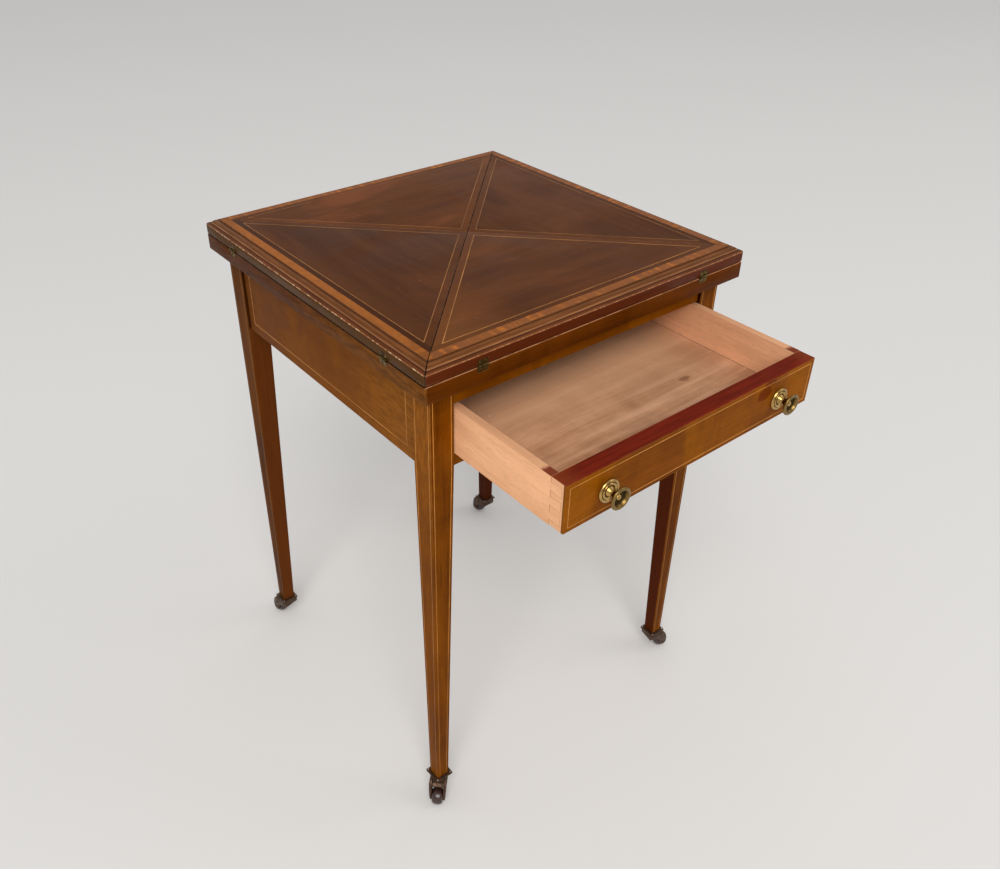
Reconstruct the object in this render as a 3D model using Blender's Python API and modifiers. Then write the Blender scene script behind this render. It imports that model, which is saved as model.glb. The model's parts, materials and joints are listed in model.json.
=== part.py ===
"""Envelope card table: a square top of four hinged triangular leaves on a swivelling bed, over a frame
with a frieze drawer, tapered legs and plate casters. Metres, +Z up, drawer towards -Y."""
import math

import bmesh
import bpy
from mathutils import Matrix, Vector

# Whole table
TOP_WIDTH = 0.515
TABLE_HEIGHT = 0.756
OVERHANG = 0.0185
FRIEZE_DEPTH = 0.113
GAP = 0.0003
CUT_OVERRUN = 0.004
WELD_DISTANCE = 0.00001

# Leaves, their moulded edge and the baize between leaves and bed
LEAF_THICKNESS = 0.0206
LEAF_INSET = 0.00035
MITRE_HALF_GAP = 0.0004
EDGE_RISE = 0.008
STEP_INSET = 0.0145
STEP_DEPTH = 0.0014
OVOLO_INSET = 0.0132
OVOLO_FOOT_INSET = 0.0058
OVOLO_FOOT_RISE = 0.0026
BEAD_INSET = 0.0053
BEAD_RISE = 0.0024
MOULDING_STEPS = 5
BAIZE_THICKNESS = 0.0004
BAIZE_EDGE_INSET = 0.003
LEAF_BORDER = 0.028
LEAF_REST_GAP = 0.0002

# Bed
BED_THICKNESS = 0.022
BED_ARRIS = 0.001
SWIVEL_GAP = 0.001

# Butt hinges let into the edges of leaves and bed
HINGE_FROM_CORNER = 0.0775
HINGE_WIDTH = 0.014
HINGE_PLATE_HEIGHT = 0.007
HINGE_PLATE_THICKNESS = 0.0016
KNUCKLE_RADIUS = 0.002
KNUCKLE_BORE_RADIUS = 0.00105
MIDDLE_KNUCKLE = 0.0044
PIN_RADIUS = 0.00075
PIN_HEAD = 0.0002
KNUCKLE_SIDES = 12

# Legs
LEG_WIDTH = 0.033
FOOT_WIDTH = 0.019
LEG_ARRIS = 0.0006

# Rails of the frame, tenoned into the legs
RAIL_THICKNESS = 0.020
RAIL_SETBACK = 0.0045
LOWER_RAIL_HEIGHT = 0.020
LOWER_RAIL_DEPTH = 0.040
TOP_RAIL_HEIGHT = 0.0278
TENON_LENGTH = 0.012
TENON_THICKNESS = 0.008
TENON_SHOULDER = 0.012
FRONT_TENON_SHOULDER = 0.006

# Pivot under the bed
PIVOT_BOARD_WIDTH = 0.100
PIVOT_BOARD_THICKNESS = 0.016
KICKER_HOUSING = 0.002
PIVOT_FLANGE_RADIUS = 0.025
PIVOT_FLANGE_THICKNESS = 0.003
PIVOT_SHANK_RADIUS = 0.005
PIVOT_SHANK_BELOW_NUT = 0.0015
PIVOT_CHAMFER = 0.0008
NUT_FLANGE_RADIUS = 0.012
NUT_FLANGE_THICKNESS = 0.0018
NUT_RADIUS = 0.0092
NUT_THICKNESS = 0.007
NUT_SIDES = 6
STOP_PEG_RADIUS = 0.004
STOP_PEG_REACH = 0.035
STOP_PEG_IN_BED = 0.010
STOP_PEG_IN_BOARD = 0.012
SWIVEL_RANGE = math.radians(45)

# Drawer and what carries it
DRAWER_OPEN = 0.184
DRAWER_SIDE_PLAY = 0.001
DRAWER_FRONT_LIFT = 0.001
DRAWER_FRONT_HEIGHT = 0.0622
DRAWER_FRONT_THICKNESS = 0.022
DRAWER_LENGTH = 0.430
DRAWER_SIDE_THICKNESS = 0.010
DRAWER_BACK_THICKNESS = 0.010
DRAWER_BACK_DROP = 0.006
DRAWER_ARRIS = 0.0006
BOTTOM_LIFT = 0.0069
BOTTOM_THICKNESS = 0.006
BOTTOM_GROOVE = 0.004
BOTTOM_REBATE = 0.0005
LAP_THICKNESS = 0.006
TAIL_WIDTH = 0.0125
TAIL_TAPER = 0.0018
FRONT_TAIL_SHARES = (0.20, 0.50, 0.80)
BACK_TAIL_SHARES = (0.30, 0.70)
RUNNER_WIDTH = 0.0207
GUIDE_HEIGHT = 0.022
STOP_LENGTH = 0.030
STOP_DEPTH = 0.015
STOP_RISE = 0.0045
STOP_FROM_LEG = 0.086

# Knobs
KNOB_FROM_END = 0.062
KNOB_DROP = 0.0031
ROSETTE_RADIUS = 0.0145
ROSETTE_THICKNESS = 0.0036
KNOB_RADIUS = 0.01375
KNOB_LENGTH = 0.0195
KNOB_NECK_RADIUS = 0.0036
KNOB_STUD_RADIUS = 0.0022
KNOB_STUD_LENGTH = 0.014
KNOB_STEPS = 24
RING_STEPS = 4

# Turned outline of the knob, as shares of its radius and length
BOSS_SHARES = ((0.0, 0.86), (0.16, 0.85), (0.27, 0.80), (0.32, 0.73))
DISH_SHARES = ((0.45, 0.74), (0.58, 0.80), (0.68, 0.90))
RIM_SHARES = ((0.72, 0.98), (0.80, 1.0), (0.92, 0.985), (1.0, 0.93), (0.99, 0.86), (0.90, 0.81))
NECK_SHARES = ((0.62, 0.72), (0.40, 0.55))
NECK_TOP_SHARE = 0.38

# The two rings of its rosette, as shares of the rosette's radius and thickness, and of half a turn
ROSETTE_FLOOR_SHARES = (0.48, 0.40)
INNER_RING_CENTRE_SHARES = (0.62, 0.62)
INNER_RING_SIZE_SHARES = (0.11, 0.38)
INNER_RING_TURN_SHARES = (0.9, 0.1)
OUTER_RING_CENTRE_SHARES = (0.84, 0.45)
OUTER_RING_SIZE_SHARES = (0.16, 0.42)
OUTER_RING_TURN_SHARES = (0.75, 0.0)

# Casters
CASTER_HEIGHT = 0.0457
CASTER_PLATE_WIDTH = 0.028
CASTER_PLATE_THICKNESS = 0.0032
CASTER_PLATE_ARRIS = 0.0006
CASTER_TRAIL = 0.0191
STEM_RADIUS = 0.003
STEM_HEAD_RADIUS = 0.0046
STEM_HEAD_THICKNESS = 0.0015
HORN_CROWN_THICKNESS = 0.012
HORN_CROWN_RADIUS = 0.011
HORN_TOP_HALF_WIDTH = 0.0129
HORN_CROWN_HALF_WIDTH = 0.0095
HORN_FOOT_HALF_WIDTH = 0.0102
HORN_EYE_RADIUS = 0.0062
HORN_SHOULDER_DROP = 0.0045
HORN_SLOT_CLEARANCE = 0.001
WHEEL_RADIUS = 0.01275
WHEEL_HALF_WIDTH = 0.0083
WHEEL_CROWNING = 0.0034
WHEEL_CROWNING_POWER = 3
WHEEL_SIDE_PLAY = 0.00035
WHEEL_TREAD_STEPS = 8
WHEEL_STEPS = 24
AXLE_RADIUS = 0.0019
ROUND_SIDES = 24
ARC_STEPS = 6

# Heights worked out from the top down
SEAM = 2 * (GAP + BAIZE_THICKNESS) + LEAF_REST_GAP
LEAF_BOTTOM = TABLE_HEIGHT - LEAF_THICKNESS
HINGE_HEIGHT = LEAF_BOTTOM - SEAM / 2
BED_TOP = HINGE_HEIGHT - SEAM / 2
BED_BOTTOM = BED_TOP - BED_THICKNESS
FRAME_TOP = BED_BOTTOM - SWIVEL_GAP
RAIL_BOTTOM = FRAME_TOP - FRIEZE_DEPTH
OPENING_BOTTOM = RAIL_BOTTOM + LOWER_RAIL_HEIGHT
OPENING_TOP = FRAME_TOP - TOP_RAIL_HEIGHT
BOARD_BOTTOM = FRAME_TOP - PIVOT_BOARD_THICKNESS

# Plan of the frame, as distances from the table's centre
HINGE_REACH = TOP_WIDTH / 2
HINGE_OFFSET = HINGE_REACH - HINGE_FROM_CORNER
BED_REACH = HINGE_REACH - LEAF_INSET
LEG_OUTER = HINGE_REACH - OVERHANG
LEG_INNER = LEG_OUTER - LEG_WIDTH
STOP_OFFSET = LEG_INNER - STOP_FROM_LEG
FOOT_CENTRE = LEG_OUTER - FOOT_WIDTH / 2
RAIL_OUTER = LEG_OUTER - RAIL_SETBACK
RAIL_INNER = RAIL_OUTER - RAIL_THICKNESS
TENON_CENTRE = (RAIL_OUTER + RAIL_INNER) / 2

# Drawer in its closed place
DRAWER_HALF_WIDTH = LEG_INNER - DRAWER_SIDE_PLAY
KNOB_OFFSET = DRAWER_HALF_WIDTH - KNOB_FROM_END
DRAWER_FACE = -RAIL_OUTER
DRAWER_FRONT_BACK = DRAWER_FACE + DRAWER_FRONT_THICKNESS
DRAWER_REAR = DRAWER_FACE + DRAWER_LENGTH
DRAWER_BACK_FACE = DRAWER_REAR - DRAWER_BACK_THICKNESS
DRAWER_SIDE_BOTTOM = OPENING_BOTTOM + GAP
DRAWER_FRONT_BOTTOM = OPENING_BOTTOM + DRAWER_FRONT_LIFT
DRAWER_TOP = DRAWER_FRONT_BOTTOM + DRAWER_FRONT_HEIGHT
DRAWER_SIDE_INNER = DRAWER_HALF_WIDTH - DRAWER_SIDE_THICKNESS
BOTTOM_UNDERSIDE = DRAWER_SIDE_BOTTOM + BOTTOM_LIFT
BOTTOM_TOP = BOTTOM_UNDERSIDE + BOTTOM_THICKNESS
BOTTOM_TONGUE_TOP = BOTTOM_TOP - BOTTOM_REBATE
KNOB_HEIGHT = (DRAWER_FRONT_BOTTOM + DRAWER_TOP) / 2 - KNOB_DROP

# The open drawer reaches past the front, so the table's centre lies behind the middle of the whole
FRONT_REACH = RAIL_OUTER + DRAWER_OPEN + KNOB_LENGTH
BACK_REACH = HINGE_REACH + KNUCKLE_RADIUS
TABLE_Y = (FRONT_REACH - BACK_REACH) / 2

SIDES = {"front": 0.0, "right": math.pi / 2, "back": math.pi, "left": -math.pi / 2}
CORNERS = {
    "front_left": (-1, -1),
    "front_right": (1, -1),
    "back_left": (-1, 1),
    "back_right": (1, 1),
}
TRAIL_ANGLES = {
    "front_left": math.radians(-135),
    "front_right": math.radians(-12),
    "back_left": math.radians(102),
    "back_right": math.radians(90),
}


# Scene, collections and materials

def clear_scene():
    for obj in list(bpy.data.objects):
        bpy.data.objects.remove(obj, do_unlink=True)


def new_collection(name):
    collection = bpy.data.collections.new(name)
    bpy.context.scene.collection.children.link(collection)
    return collection


def new_material(name, colour, roughness, metallic):
    material = bpy.data.materials.new(name)
    material.use_nodes = True
    shader = material.node_tree.nodes["Principled BSDF"]
    shader.inputs["Base Color"].default_value = (*colour, 1.0)
    shader.inputs["Roughness"].default_value = roughness
    shader.inputs["Metallic"].default_value = metallic
    material.diffuse_color = (*colour, 1.0)
    return material


clear_scene()
TABLE = new_collection("envelope_card_table")
CUTTERS = new_collection("cutters")

TABLE_FRAME = bpy.data.objects.new("table_centre", None)
TABLE_FRAME.location = (0, TABLE_Y, 0)
CUTTERS.objects.link(TABLE_FRAME)

TOP_MAHOGANY = (0.16, 0.045, 0.014)
FRAME_MAHOGANY = (0.34, 0.12, 0.035)
DRAWER_LINING = (0.52, 0.33, 0.20)
SECONDARY_WOOD = (0.36, 0.22, 0.12)
GREEN_BAIZE = (0.035, 0.13, 0.06)
AGED_BRASS = (0.45, 0.31, 0.12)
DARK_BRASS = (0.12, 0.085, 0.05)
STEEL = (0.30, 0.28, 0.26)
BROWN_WHEEL = (0.10, 0.05, 0.035)


# Meshes

def finish_mesh(bm, name):
    mesh = bpy.data.meshes.new(name)
    bm.to_mesh(mesh)
    bm.free()
    return mesh


def add_box(bm, corner, opposite):
    """A cube stretched between two opposite corners, in any order."""
    low = Vector([min(a, b) for a, b in zip(corner, opposite)])
    high = Vector([max(a, b) for a, b in zip(corner, opposite)])
    made = bmesh.ops.create_cube(bm, size=1.0)["verts"]
    bmesh.ops.scale(bm, vec=high - low, verts=made)
    bmesh.ops.translate(bm, vec=(low + high) / 2, verts=made)
    return made


def box_mesh(name, corner, opposite, arris=0.0):
    bm = bmesh.new()
    add_box(bm, corner, opposite)
    if arris:
        bmesh.ops.bevel(bm, geom=bm.edges[:], offset=arris, offset_type="OFFSET", segments=1,
                        profile=0.5, affect="EDGES")
    return finish_mesh(bm, name)


def add_cylinder(bm, start, end, radius, sides=ROUND_SIDES):
    """A capped cylinder from one point to another."""
    start, end = Vector(start), Vector(end)
    made = bmesh.ops.create_cone(bm, cap_ends=True, segments=sides, radius1=radius, radius2=radius,
                                 depth=(end - start).length)["verts"]
    turn = Vector((0, 0, 1)).rotation_difference(end - start).to_matrix()
    bmesh.ops.rotate(bm, cent=(0, 0, 0), matrix=turn, verts=made)
    bmesh.ops.translate(bm, vec=(start + end) / 2, verts=made)
    return made


def evaluated_mesh(obj, name):
    """A plain mesh of an object with its modifiers, in the place that the object has."""
    bpy.context.view_layer.update()
    mesh = bpy.data.meshes.new_from_object(obj.evaluated_get(bpy.context.evaluated_depsgraph_get()))
    mesh.name = name
    mesh.transform(obj.matrix_world)
    return mesh


def outline_mesh(name, outline, thickness, placing):
    """A flat outline, extruded evenly about its plane and then placed by a matrix."""
    curve = bpy.data.curves.new(name, "CURVE")
    curve.dimensions = "2D"
    curve.fill_mode = "BOTH"
    curve.extrude = thickness / 2
    spline = curve.splines.new("POLY")
    spline.points.add(len(outline) - 1)
    for point, (x, y) in zip(spline.points, outline):
        point.co = (x, y, 0, 1)
    spline.use_cyclic_u = True
    obj = bpy.data.objects.new(name, curve)
    bpy.context.scene.collection.objects.link(obj)
    bm = bmesh.new()
    bm.from_mesh(evaluated_mesh(obj, name))
    bpy.data.objects.remove(obj, do_unlink=True)
    bmesh.ops.remove_doubles(bm, verts=bm.verts, dist=WELD_DISTANCE)
    bmesh.ops.transform(bm, matrix=placing, verts=bm.verts)
    bmesh.ops.recalc_face_normals(bm, faces=bm.faces)
    return finish_mesh(bm, name)


def arc(centre, radius, start, end, steps=ARC_STEPS):
    """Points on an arc; the radius may be a pair, for an ellipse."""
    across, up = radius if isinstance(radius, tuple) else (radius, radius)
    angles = [start + (end - start) * i / steps for i in range(steps + 1)]
    return [(centre[0] + across * math.cos(a), centre[1] + up * math.sin(a)) for a in angles]


def plane_placing(across, up, origin=(0, 0, 0)):
    """The matrix that lays an outline's x along across and its y along up."""
    across, up = Vector(across), Vector(up)
    placing = Matrix((across, up, across.cross(up))).transposed().to_4x4()
    placing.translation = Vector(origin)
    return placing


# Objects

def add_object(name, mesh, material, pivot=(0, 0, 0), turn=0.0, moved=None):
    """A sub-part whose mesh is given in the table's own coordinates, with its origin at pivot."""
    if moved is None:
        mesh.transform(Matrix.Translation(-Vector(pivot)))
    obj = bpy.data.objects.new(name, mesh)
    obj.location = pivot if moved is None else moved
    obj.rotation_euler = (0, 0, turn)
    obj.parent = TABLE_FRAME
    if not mesh.materials:
        mesh.materials.append(material)
    TABLE.objects.link(obj)
    return obj


def add_cutter(name, mesh, parent=TABLE_FRAME, location=(0, 0, 0), turn=0.0):
    obj = bpy.data.objects.new(name, mesh)
    obj.parent = parent
    obj.location = location
    obj.rotation_euler = (0, 0, turn)
    obj.hide_render = True
    obj.display_type = "WIRE"
    CUTTERS.objects.link(obj)
    return obj


def combine(obj, cutter, operation="DIFFERENCE"):
    modifier = obj.modifiers.new(f"{operation.lower()} {cutter.name}", "BOOLEAN")
    modifier.operation = operation
    modifier.solver = "EXACT"
    modifier.object = cutter


def add_turning(obj, steps):
    """A full turn of the object's profile about its own Z axis."""
    modifier = obj.modifiers.new("turning", "SCREW")
    modifier.axis = "Z"
    modifier.angle = 2 * math.pi
    modifier.steps = steps
    modifier.render_steps = steps
    modifier.use_merge_vertices = True
    modifier.merge_threshold = WELD_DISTANCE
    modifier.use_smooth_shade = True


def profile_mesh(name, profile, closed=False):
    """A profile of (radius, height) points, from top to bottom on its outer side."""
    bm = bmesh.new()
    points = [bm.verts.new((radius, 0, height)) for radius, height in profile]
    for first, second in zip(points, points[1:]):
        bm.edges.new((first, second))
    if closed:
        bm.edges.new((points[-1], points[0]))
    return finish_mesh(bm, name)


# Legs, rails and their joints

def leg_mesh(name, side_x, side_y):
    """Square in the frieze, tapered below it on the two inner faces."""
    bm = bmesh.new()
    add_box(bm, (side_x * LEG_INNER, side_y * LEG_INNER, CASTER_HEIGHT),
            (side_x * LEG_OUTER, side_y * LEG_OUTER, FRAME_TOP))
    bmesh.ops.bisect_plane(bm, geom=bm.verts[:] + bm.edges[:] + bm.faces[:],
                           plane_co=(0, 0, RAIL_BOTTOM), plane_no=(0, 0, 1))
    taper = LEG_WIDTH - FOOT_WIDTH
    middle = (LEG_INNER + LEG_OUTER) / 2
    for vert in bm.verts:
        if vert.co.z < (CASTER_HEIGHT + RAIL_BOTTOM) / 2:
            if abs(vert.co.x) < middle:
                vert.co.x += side_x * taper
            if abs(vert.co.y) < middle:
                vert.co.y += side_y * taper
    upright = [e for e in bm.edges if abs(e.verts[0].co.z - e.verts[1].co.z) > LEG_WIDTH]
    bmesh.ops.bevel(bm, geom=upright, offset=LEG_ARRIS, offset_type="OFFSET", segments=1,
                    profile=0.5, affect="EDGES")
    return finish_mesh(bm, name)


def side_tenon(side_x, side_y, play=0.0):
    """Corners of the tenon of a side rail in a leg; with play, of its mortise."""
    return ((side_x * (TENON_CENTRE - TENON_THICKNESS / 2 - play), side_y * (LEG_INNER - CUT_OVERRUN),
             RAIL_BOTTOM + TENON_SHOULDER - play),
            (side_x * (TENON_CENTRE + TENON_THICKNESS / 2 + play),
             side_y * (LEG_INNER + TENON_LENGTH + play), FRAME_TOP - TENON_SHOULDER + play))


def back_tenon(side_x, play=0.0):
    """The same for the back rail, which enters a leg from its inner side."""
    return ((side_x * (LEG_INNER - CUT_OVERRUN), TENON_CENTRE - TENON_THICKNESS / 2 - play,
             RAIL_BOTTOM + TENON_SHOULDER - play),
            (side_x * (LEG_INNER + TENON_LENGTH + play), TENON_CENTRE + TENON_THICKNESS / 2 + play,
             FRAME_TOP - TENON_SHOULDER + play))


def front_tenon(side_x, bottom, height, play=0.0):
    """The same for a front rail between the given heights."""
    return ((side_x * (LEG_INNER - CUT_OVERRUN), -TENON_CENTRE + TENON_THICKNESS / 2 + play,
             bottom + FRONT_TENON_SHOULDER - play),
            (side_x * (LEG_INNER + TENON_LENGTH + play), -TENON_CENTRE - TENON_THICKNESS / 2 - play,
             bottom + height - FRONT_TENON_SHOULDER + play))


def build_legs():
    for corner, (side_x, side_y) in CORNERS.items():
        mortises = bmesh.new()
        add_box(mortises, *side_tenon(side_x, side_y, GAP))
        if side_y > 0:
            add_box(mortises, *back_tenon(side_x, GAP))
        else:
            add_box(mortises, *front_tenon(side_x, RAIL_BOTTOM, LOWER_RAIL_HEIGHT, GAP))
            add_box(mortises, *front_tenon(side_x, OPENING_TOP, TOP_RAIL_HEIGHT, GAP))
        leg = add_object(f"leg_{corner}", leg_mesh(f"leg_{corner}", side_x, side_y),
                         FRAME_WOOD, (side_x * FOOT_CENTRE, side_y * FOOT_CENTRE, CASTER_HEIGHT))
        combine(leg, add_cutter(f"mortises_{corner}", finish_mesh(mortises, "mortises")))


def add_rail(name, corner, opposite, tenons):
    """A rail between two legs, with its tenons joined on."""
    rail = add_object(name, box_mesh(name, corner, opposite), FRAME_WOOD)
    tongues = bmesh.new()
    for tenon in tenons:
        add_box(tongues, *tenon)
    combine(rail, add_cutter(f"tenons_{name}", finish_mesh(tongues, "tenons")), "UNION")
    return rail


def drawer_stop(side):
    """Corners of a stop block, glued to the lower rail just behind the closed drawer's front."""
    front = DRAWER_FRONT_BACK + GAP
    return ((side * (STOP_OFFSET - STOP_LENGTH / 2), front, OPENING_BOTTOM - STOP_RISE),
            (side * (STOP_OFFSET + STOP_LENGTH / 2), front + STOP_DEPTH, OPENING_BOTTOM + STOP_RISE))


def build_rails():
    reach = LEG_INNER - GAP
    for name, side in (("left", -1), ("right", 1)):
        add_rail(f"rail_{name}", (side * RAIL_INNER, -reach, RAIL_BOTTOM),
                 (side * RAIL_OUTER, reach, FRAME_TOP), [side_tenon(side, -1), side_tenon(side, 1)])
    add_rail("rail_back", (-reach, RAIL_INNER, RAIL_BOTTOM), (reach, RAIL_OUTER, FRAME_TOP),
             [back_tenon(-1), back_tenon(1)])
    add_rail("rail_front_top", (-reach, -RAIL_INNER, OPENING_TOP), (reach, -RAIL_OUTER, FRAME_TOP),
             [front_tenon(side, OPENING_TOP, TOP_RAIL_HEIGHT) for side in (-1, 1)])
    add_rail("rail_front_bottom", (-reach, -RAIL_OUTER + LOWER_RAIL_DEPTH, RAIL_BOTTOM),
             (reach, -RAIL_OUTER, OPENING_BOTTOM),
             [front_tenon(side, RAIL_BOTTOM, LOWER_RAIL_HEIGHT) for side in (-1, 1)]
             + [drawer_stop(side) for side in (-1, 1)])


def build_runners():
    """Rebated runners that carry the drawer and guide its sides."""
    start = -RAIL_OUTER + LOWER_RAIL_DEPTH + GAP
    end = LEG_INNER - GAP
    inner = LEG_INNER - RUNNER_WIDTH
    step = LEG_INNER - GAP
    outer = RAIL_INNER - GAP
    guide_top = OPENING_BOTTOM + GUIDE_HEIGHT
    section = [(inner, RAIL_BOTTOM), (outer, RAIL_BOTTOM), (outer, guide_top), (step, guide_top),
               (step, OPENING_BOTTOM), (inner, OPENING_BOTTOM)]
    for name, side in (("left", -1), ("right", 1)):
        outline = [(side * x, z) for x, z in section]
        placing = plane_placing((1, 0, 0), (0, 0, 1), (0, (start + end) / 2, 0))
        add_object(f"drawer_runner_{name}",
                   outline_mesh(f"drawer_runner_{name}", outline, end - start, placing), CARCASE_WOOD)


# Pivot of the top

def stop_slot_outline():
    """A curved slot with round ends, for the peg's swing, seen from above."""
    half = STOP_PEG_RADIUS + GAP
    start, end = -SWIVEL_RANGE / 2, SWIVEL_RANGE / 2
    steps = ARC_STEPS * 2
    outer = arc((0, 0), STOP_PEG_REACH + half, start, end, steps)
    inner = arc((0, 0), STOP_PEG_REACH - half, end, start, steps)
    end_at = (STOP_PEG_REACH * math.cos(end), STOP_PEG_REACH * math.sin(end))
    start_at = (STOP_PEG_REACH * math.cos(start), STOP_PEG_REACH * math.sin(start))
    far_end = arc(end_at, half, end, end + math.pi)[1:-1]
    near_end = arc(start_at, half, start + math.pi, start + 2 * math.pi)[1:-1]
    return outer + far_end + inner + near_end


def stop_peg_at():
    angle = -SWIVEL_RANGE / 2
    return STOP_PEG_REACH * math.cos(angle), STOP_PEG_REACH * math.sin(angle)


def build_pivot():
    """The board across the frame that the top turns on, on the two kickers over the drawer's sides."""
    half_board = PIVOT_BOARD_WIDTH / 2
    board = add_object("pivot_board",
                       box_mesh("pivot_board", (-RAIL_INNER + GAP, -half_board, BOARD_BOTTOM),
                                (RAIL_INNER - GAP, half_board, FRAME_TOP)), CARCASE_WOOD)
    kickers = bmesh.new()
    for side in (-1, 1):
        add_box(kickers, (side * (LEG_INNER - RUNNER_WIDTH), -RAIL_INNER + GAP, OPENING_TOP),
                (side * (LEG_INNER - GAP), RAIL_INNER - GAP, BOARD_BOTTOM + KICKER_HOUSING))
    combine(board, add_cutter("kickers", finish_mesh(kickers, "kickers")), "UNION")
    hole = bmesh.new()
    add_cylinder(hole, (0, 0, BOARD_BOTTOM - CUT_OVERRUN), (0, 0, FRAME_TOP + CUT_OVERRUN),
                 PIVOT_SHANK_RADIUS + GAP)
    combine(board, add_cutter("pivot_hole", finish_mesh(hole, "pivot_hole")))
    slot = outline_mesh("stop_slot", stop_slot_outline(), PIVOT_BOARD_THICKNESS + 2 * CUT_OVERRUN,
                        Matrix.Translation((0, 0, (BOARD_BOTTOM + FRAME_TOP) / 2)))
    combine(board, add_cutter("stop_slot", slot))

    nut_top = BOARD_BOTTOM - GAP
    nut_bottom = nut_top - NUT_FLANGE_THICKNESS - NUT_THICKNESS
    shank_end = nut_bottom - PIVOT_SHANK_BELOW_NUT
    flange_top = BED_BOTTOM + PIVOT_FLANGE_THICKNESS
    profile = [(0, flange_top), (PIVOT_FLANGE_RADIUS, flange_top), (PIVOT_FLANGE_RADIUS, BED_BOTTOM),
               (PIVOT_SHANK_RADIUS, BED_BOTTOM), (PIVOT_SHANK_RADIUS, shank_end + PIVOT_CHAMFER),
               (PIVOT_SHANK_RADIUS - PIVOT_CHAMFER, shank_end), (0, shank_end)]
    add_turning(add_object("pivot_bolt", profile_mesh("pivot_bolt", profile), STEEL_PARTS), ROUND_SIDES)
    nut = bmesh.new()
    add_cylinder(nut, (0, 0, nut_bottom), (0, 0, nut_top - NUT_FLANGE_THICKNESS / 2), NUT_RADIUS,
                 sides=NUT_SIDES)
    nut = add_object("pivot_nut", finish_mesh(nut, "pivot_nut"), STEEL_PARTS)
    flange, bore = bmesh.new(), bmesh.new()
    add_cylinder(flange, (0, 0, nut_top - NUT_FLANGE_THICKNESS), (0, 0, nut_top), NUT_FLANGE_RADIUS)
    add_cylinder(bore, (0, 0, nut_bottom - CUT_OVERRUN), (0, 0, nut_top + CUT_OVERRUN),
                 PIVOT_SHANK_RADIUS + GAP)
    combine(nut, add_cutter("nut_flange", finish_mesh(flange, "nut_flange")), "UNION")
    combine(nut, add_cutter("nut_bore", finish_mesh(bore, "nut_bore")))

    x, y = stop_peg_at()
    peg = bmesh.new()
    add_cylinder(peg, (x, y, FRAME_TOP - STOP_PEG_IN_BOARD), (x, y, BED_BOTTOM + STOP_PEG_IN_BED),
                 STOP_PEG_RADIUS)
    add_object("stop_peg", finish_mesh(peg, "stop_peg"), CARCASE_WOOD)


# Hinges

def hinge_half_mesh(up):
    """One half of a butt hinge, on an axis along X. The bed's half hangs down from its two outer
    knuckles and holds the pin, and the leaf's half stands up from its middle one."""
    near, far = SEAM / 2, SEAM / 2 + HINGE_PLATE_HEIGHT
    half, middle = HINGE_WIDTH / 2, MIDDLE_KNUCKLE / 2
    plate, clear, barrel, pin = bmesh.new(), bmesh.new(), bmesh.new(), bmesh.new()
    add_box(plate, (-half, LEAF_INSET, up * near), (half, LEAF_INSET + HINGE_PLATE_THICKNESS, up * far))
    if up > 0:
        add_cylinder(barrel, (-middle, 0, 0), (middle, 0, 0), KNUCKLE_RADIUS, KNUCKLE_SIDES)
        for side in (-1, 1):
            add_cylinder(clear, (side * middle, 0, 0), (side * (half + CUT_OVERRUN), 0, 0),
                         KNUCKLE_RADIUS + GAP, KNUCKLE_SIDES)
        add_cylinder(pin, (-half, 0, 0), (half, 0, 0), KNUCKLE_BORE_RADIUS, KNUCKLE_SIDES)
    else:
        inner = middle + GAP
        for side in (-1, 1):
            add_cylinder(barrel, (side * inner, 0, 0), (side * half, 0, 0), KNUCKLE_RADIUS, KNUCKLE_SIDES)
        add_cylinder(clear, (-inner, 0, 0), (inner, 0, 0), KNUCKLE_RADIUS + GAP, KNUCKLE_SIDES)
        add_cylinder(pin, (-half - PIN_HEAD, 0, 0), (half + PIN_HEAD, 0, 0), PIN_RADIUS, KNUCKLE_SIDES)
    body = add_cutter("hinge_plate", finish_mesh(plate, "hinge_plate"), parent=None)
    for name, bm, operation in (("clear", clear, "DIFFERENCE"), ("barrel", barrel, "UNION"),
                                ("pin", pin, "DIFFERENCE" if up > 0 else "UNION")):
        combine(body, add_cutter(f"hinge_{name}", finish_mesh(bm, name), parent=None), operation)
    return evaluated_mesh(body, "hinge_half")


def build_hinges():
    leaf_half, bed_half = hinge_half_mesh(1), hinge_half_mesh(-1)
    for mesh in (leaf_half, bed_half):
        mesh.materials.clear()
        mesh.materials.append(BRASS)
    for name, turn in SIDES.items():
        for number, side in ((1, -1), (2, 1)):
            at = Matrix.Rotation(turn, 3, "Z") @ Vector((side * HINGE_OFFSET, -HINGE_REACH, HINGE_HEIGHT))
            add_object(f"hinge_leaf_half_{name}_{number}", leaf_half, BRASS, turn=turn, moved=at)
            add_object(f"hinge_bed_half_{name}_{number}", bed_half, BRASS, turn=turn, moved=at)


def hinge_mortises(up):
    """The cut for both hinges of one side, in the edge of a leaf (up) or of the bed (down)."""
    bm = bmesh.new()
    half = HINGE_WIDTH / 2 + GAP
    deep = KNUCKLE_RADIUS + GAP
    far = SEAM / 2 + HINGE_PLATE_HEIGHT + GAP
    for side in (-1, 1):
        centre = side * HINGE_OFFSET
        add_box(bm, (centre - half, -CUT_OVERRUN, -up * CUT_OVERRUN), (centre + half, deep, up * far))
    return finish_mesh(bm, "hinge_mortises")


# Leaves and bed

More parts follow.
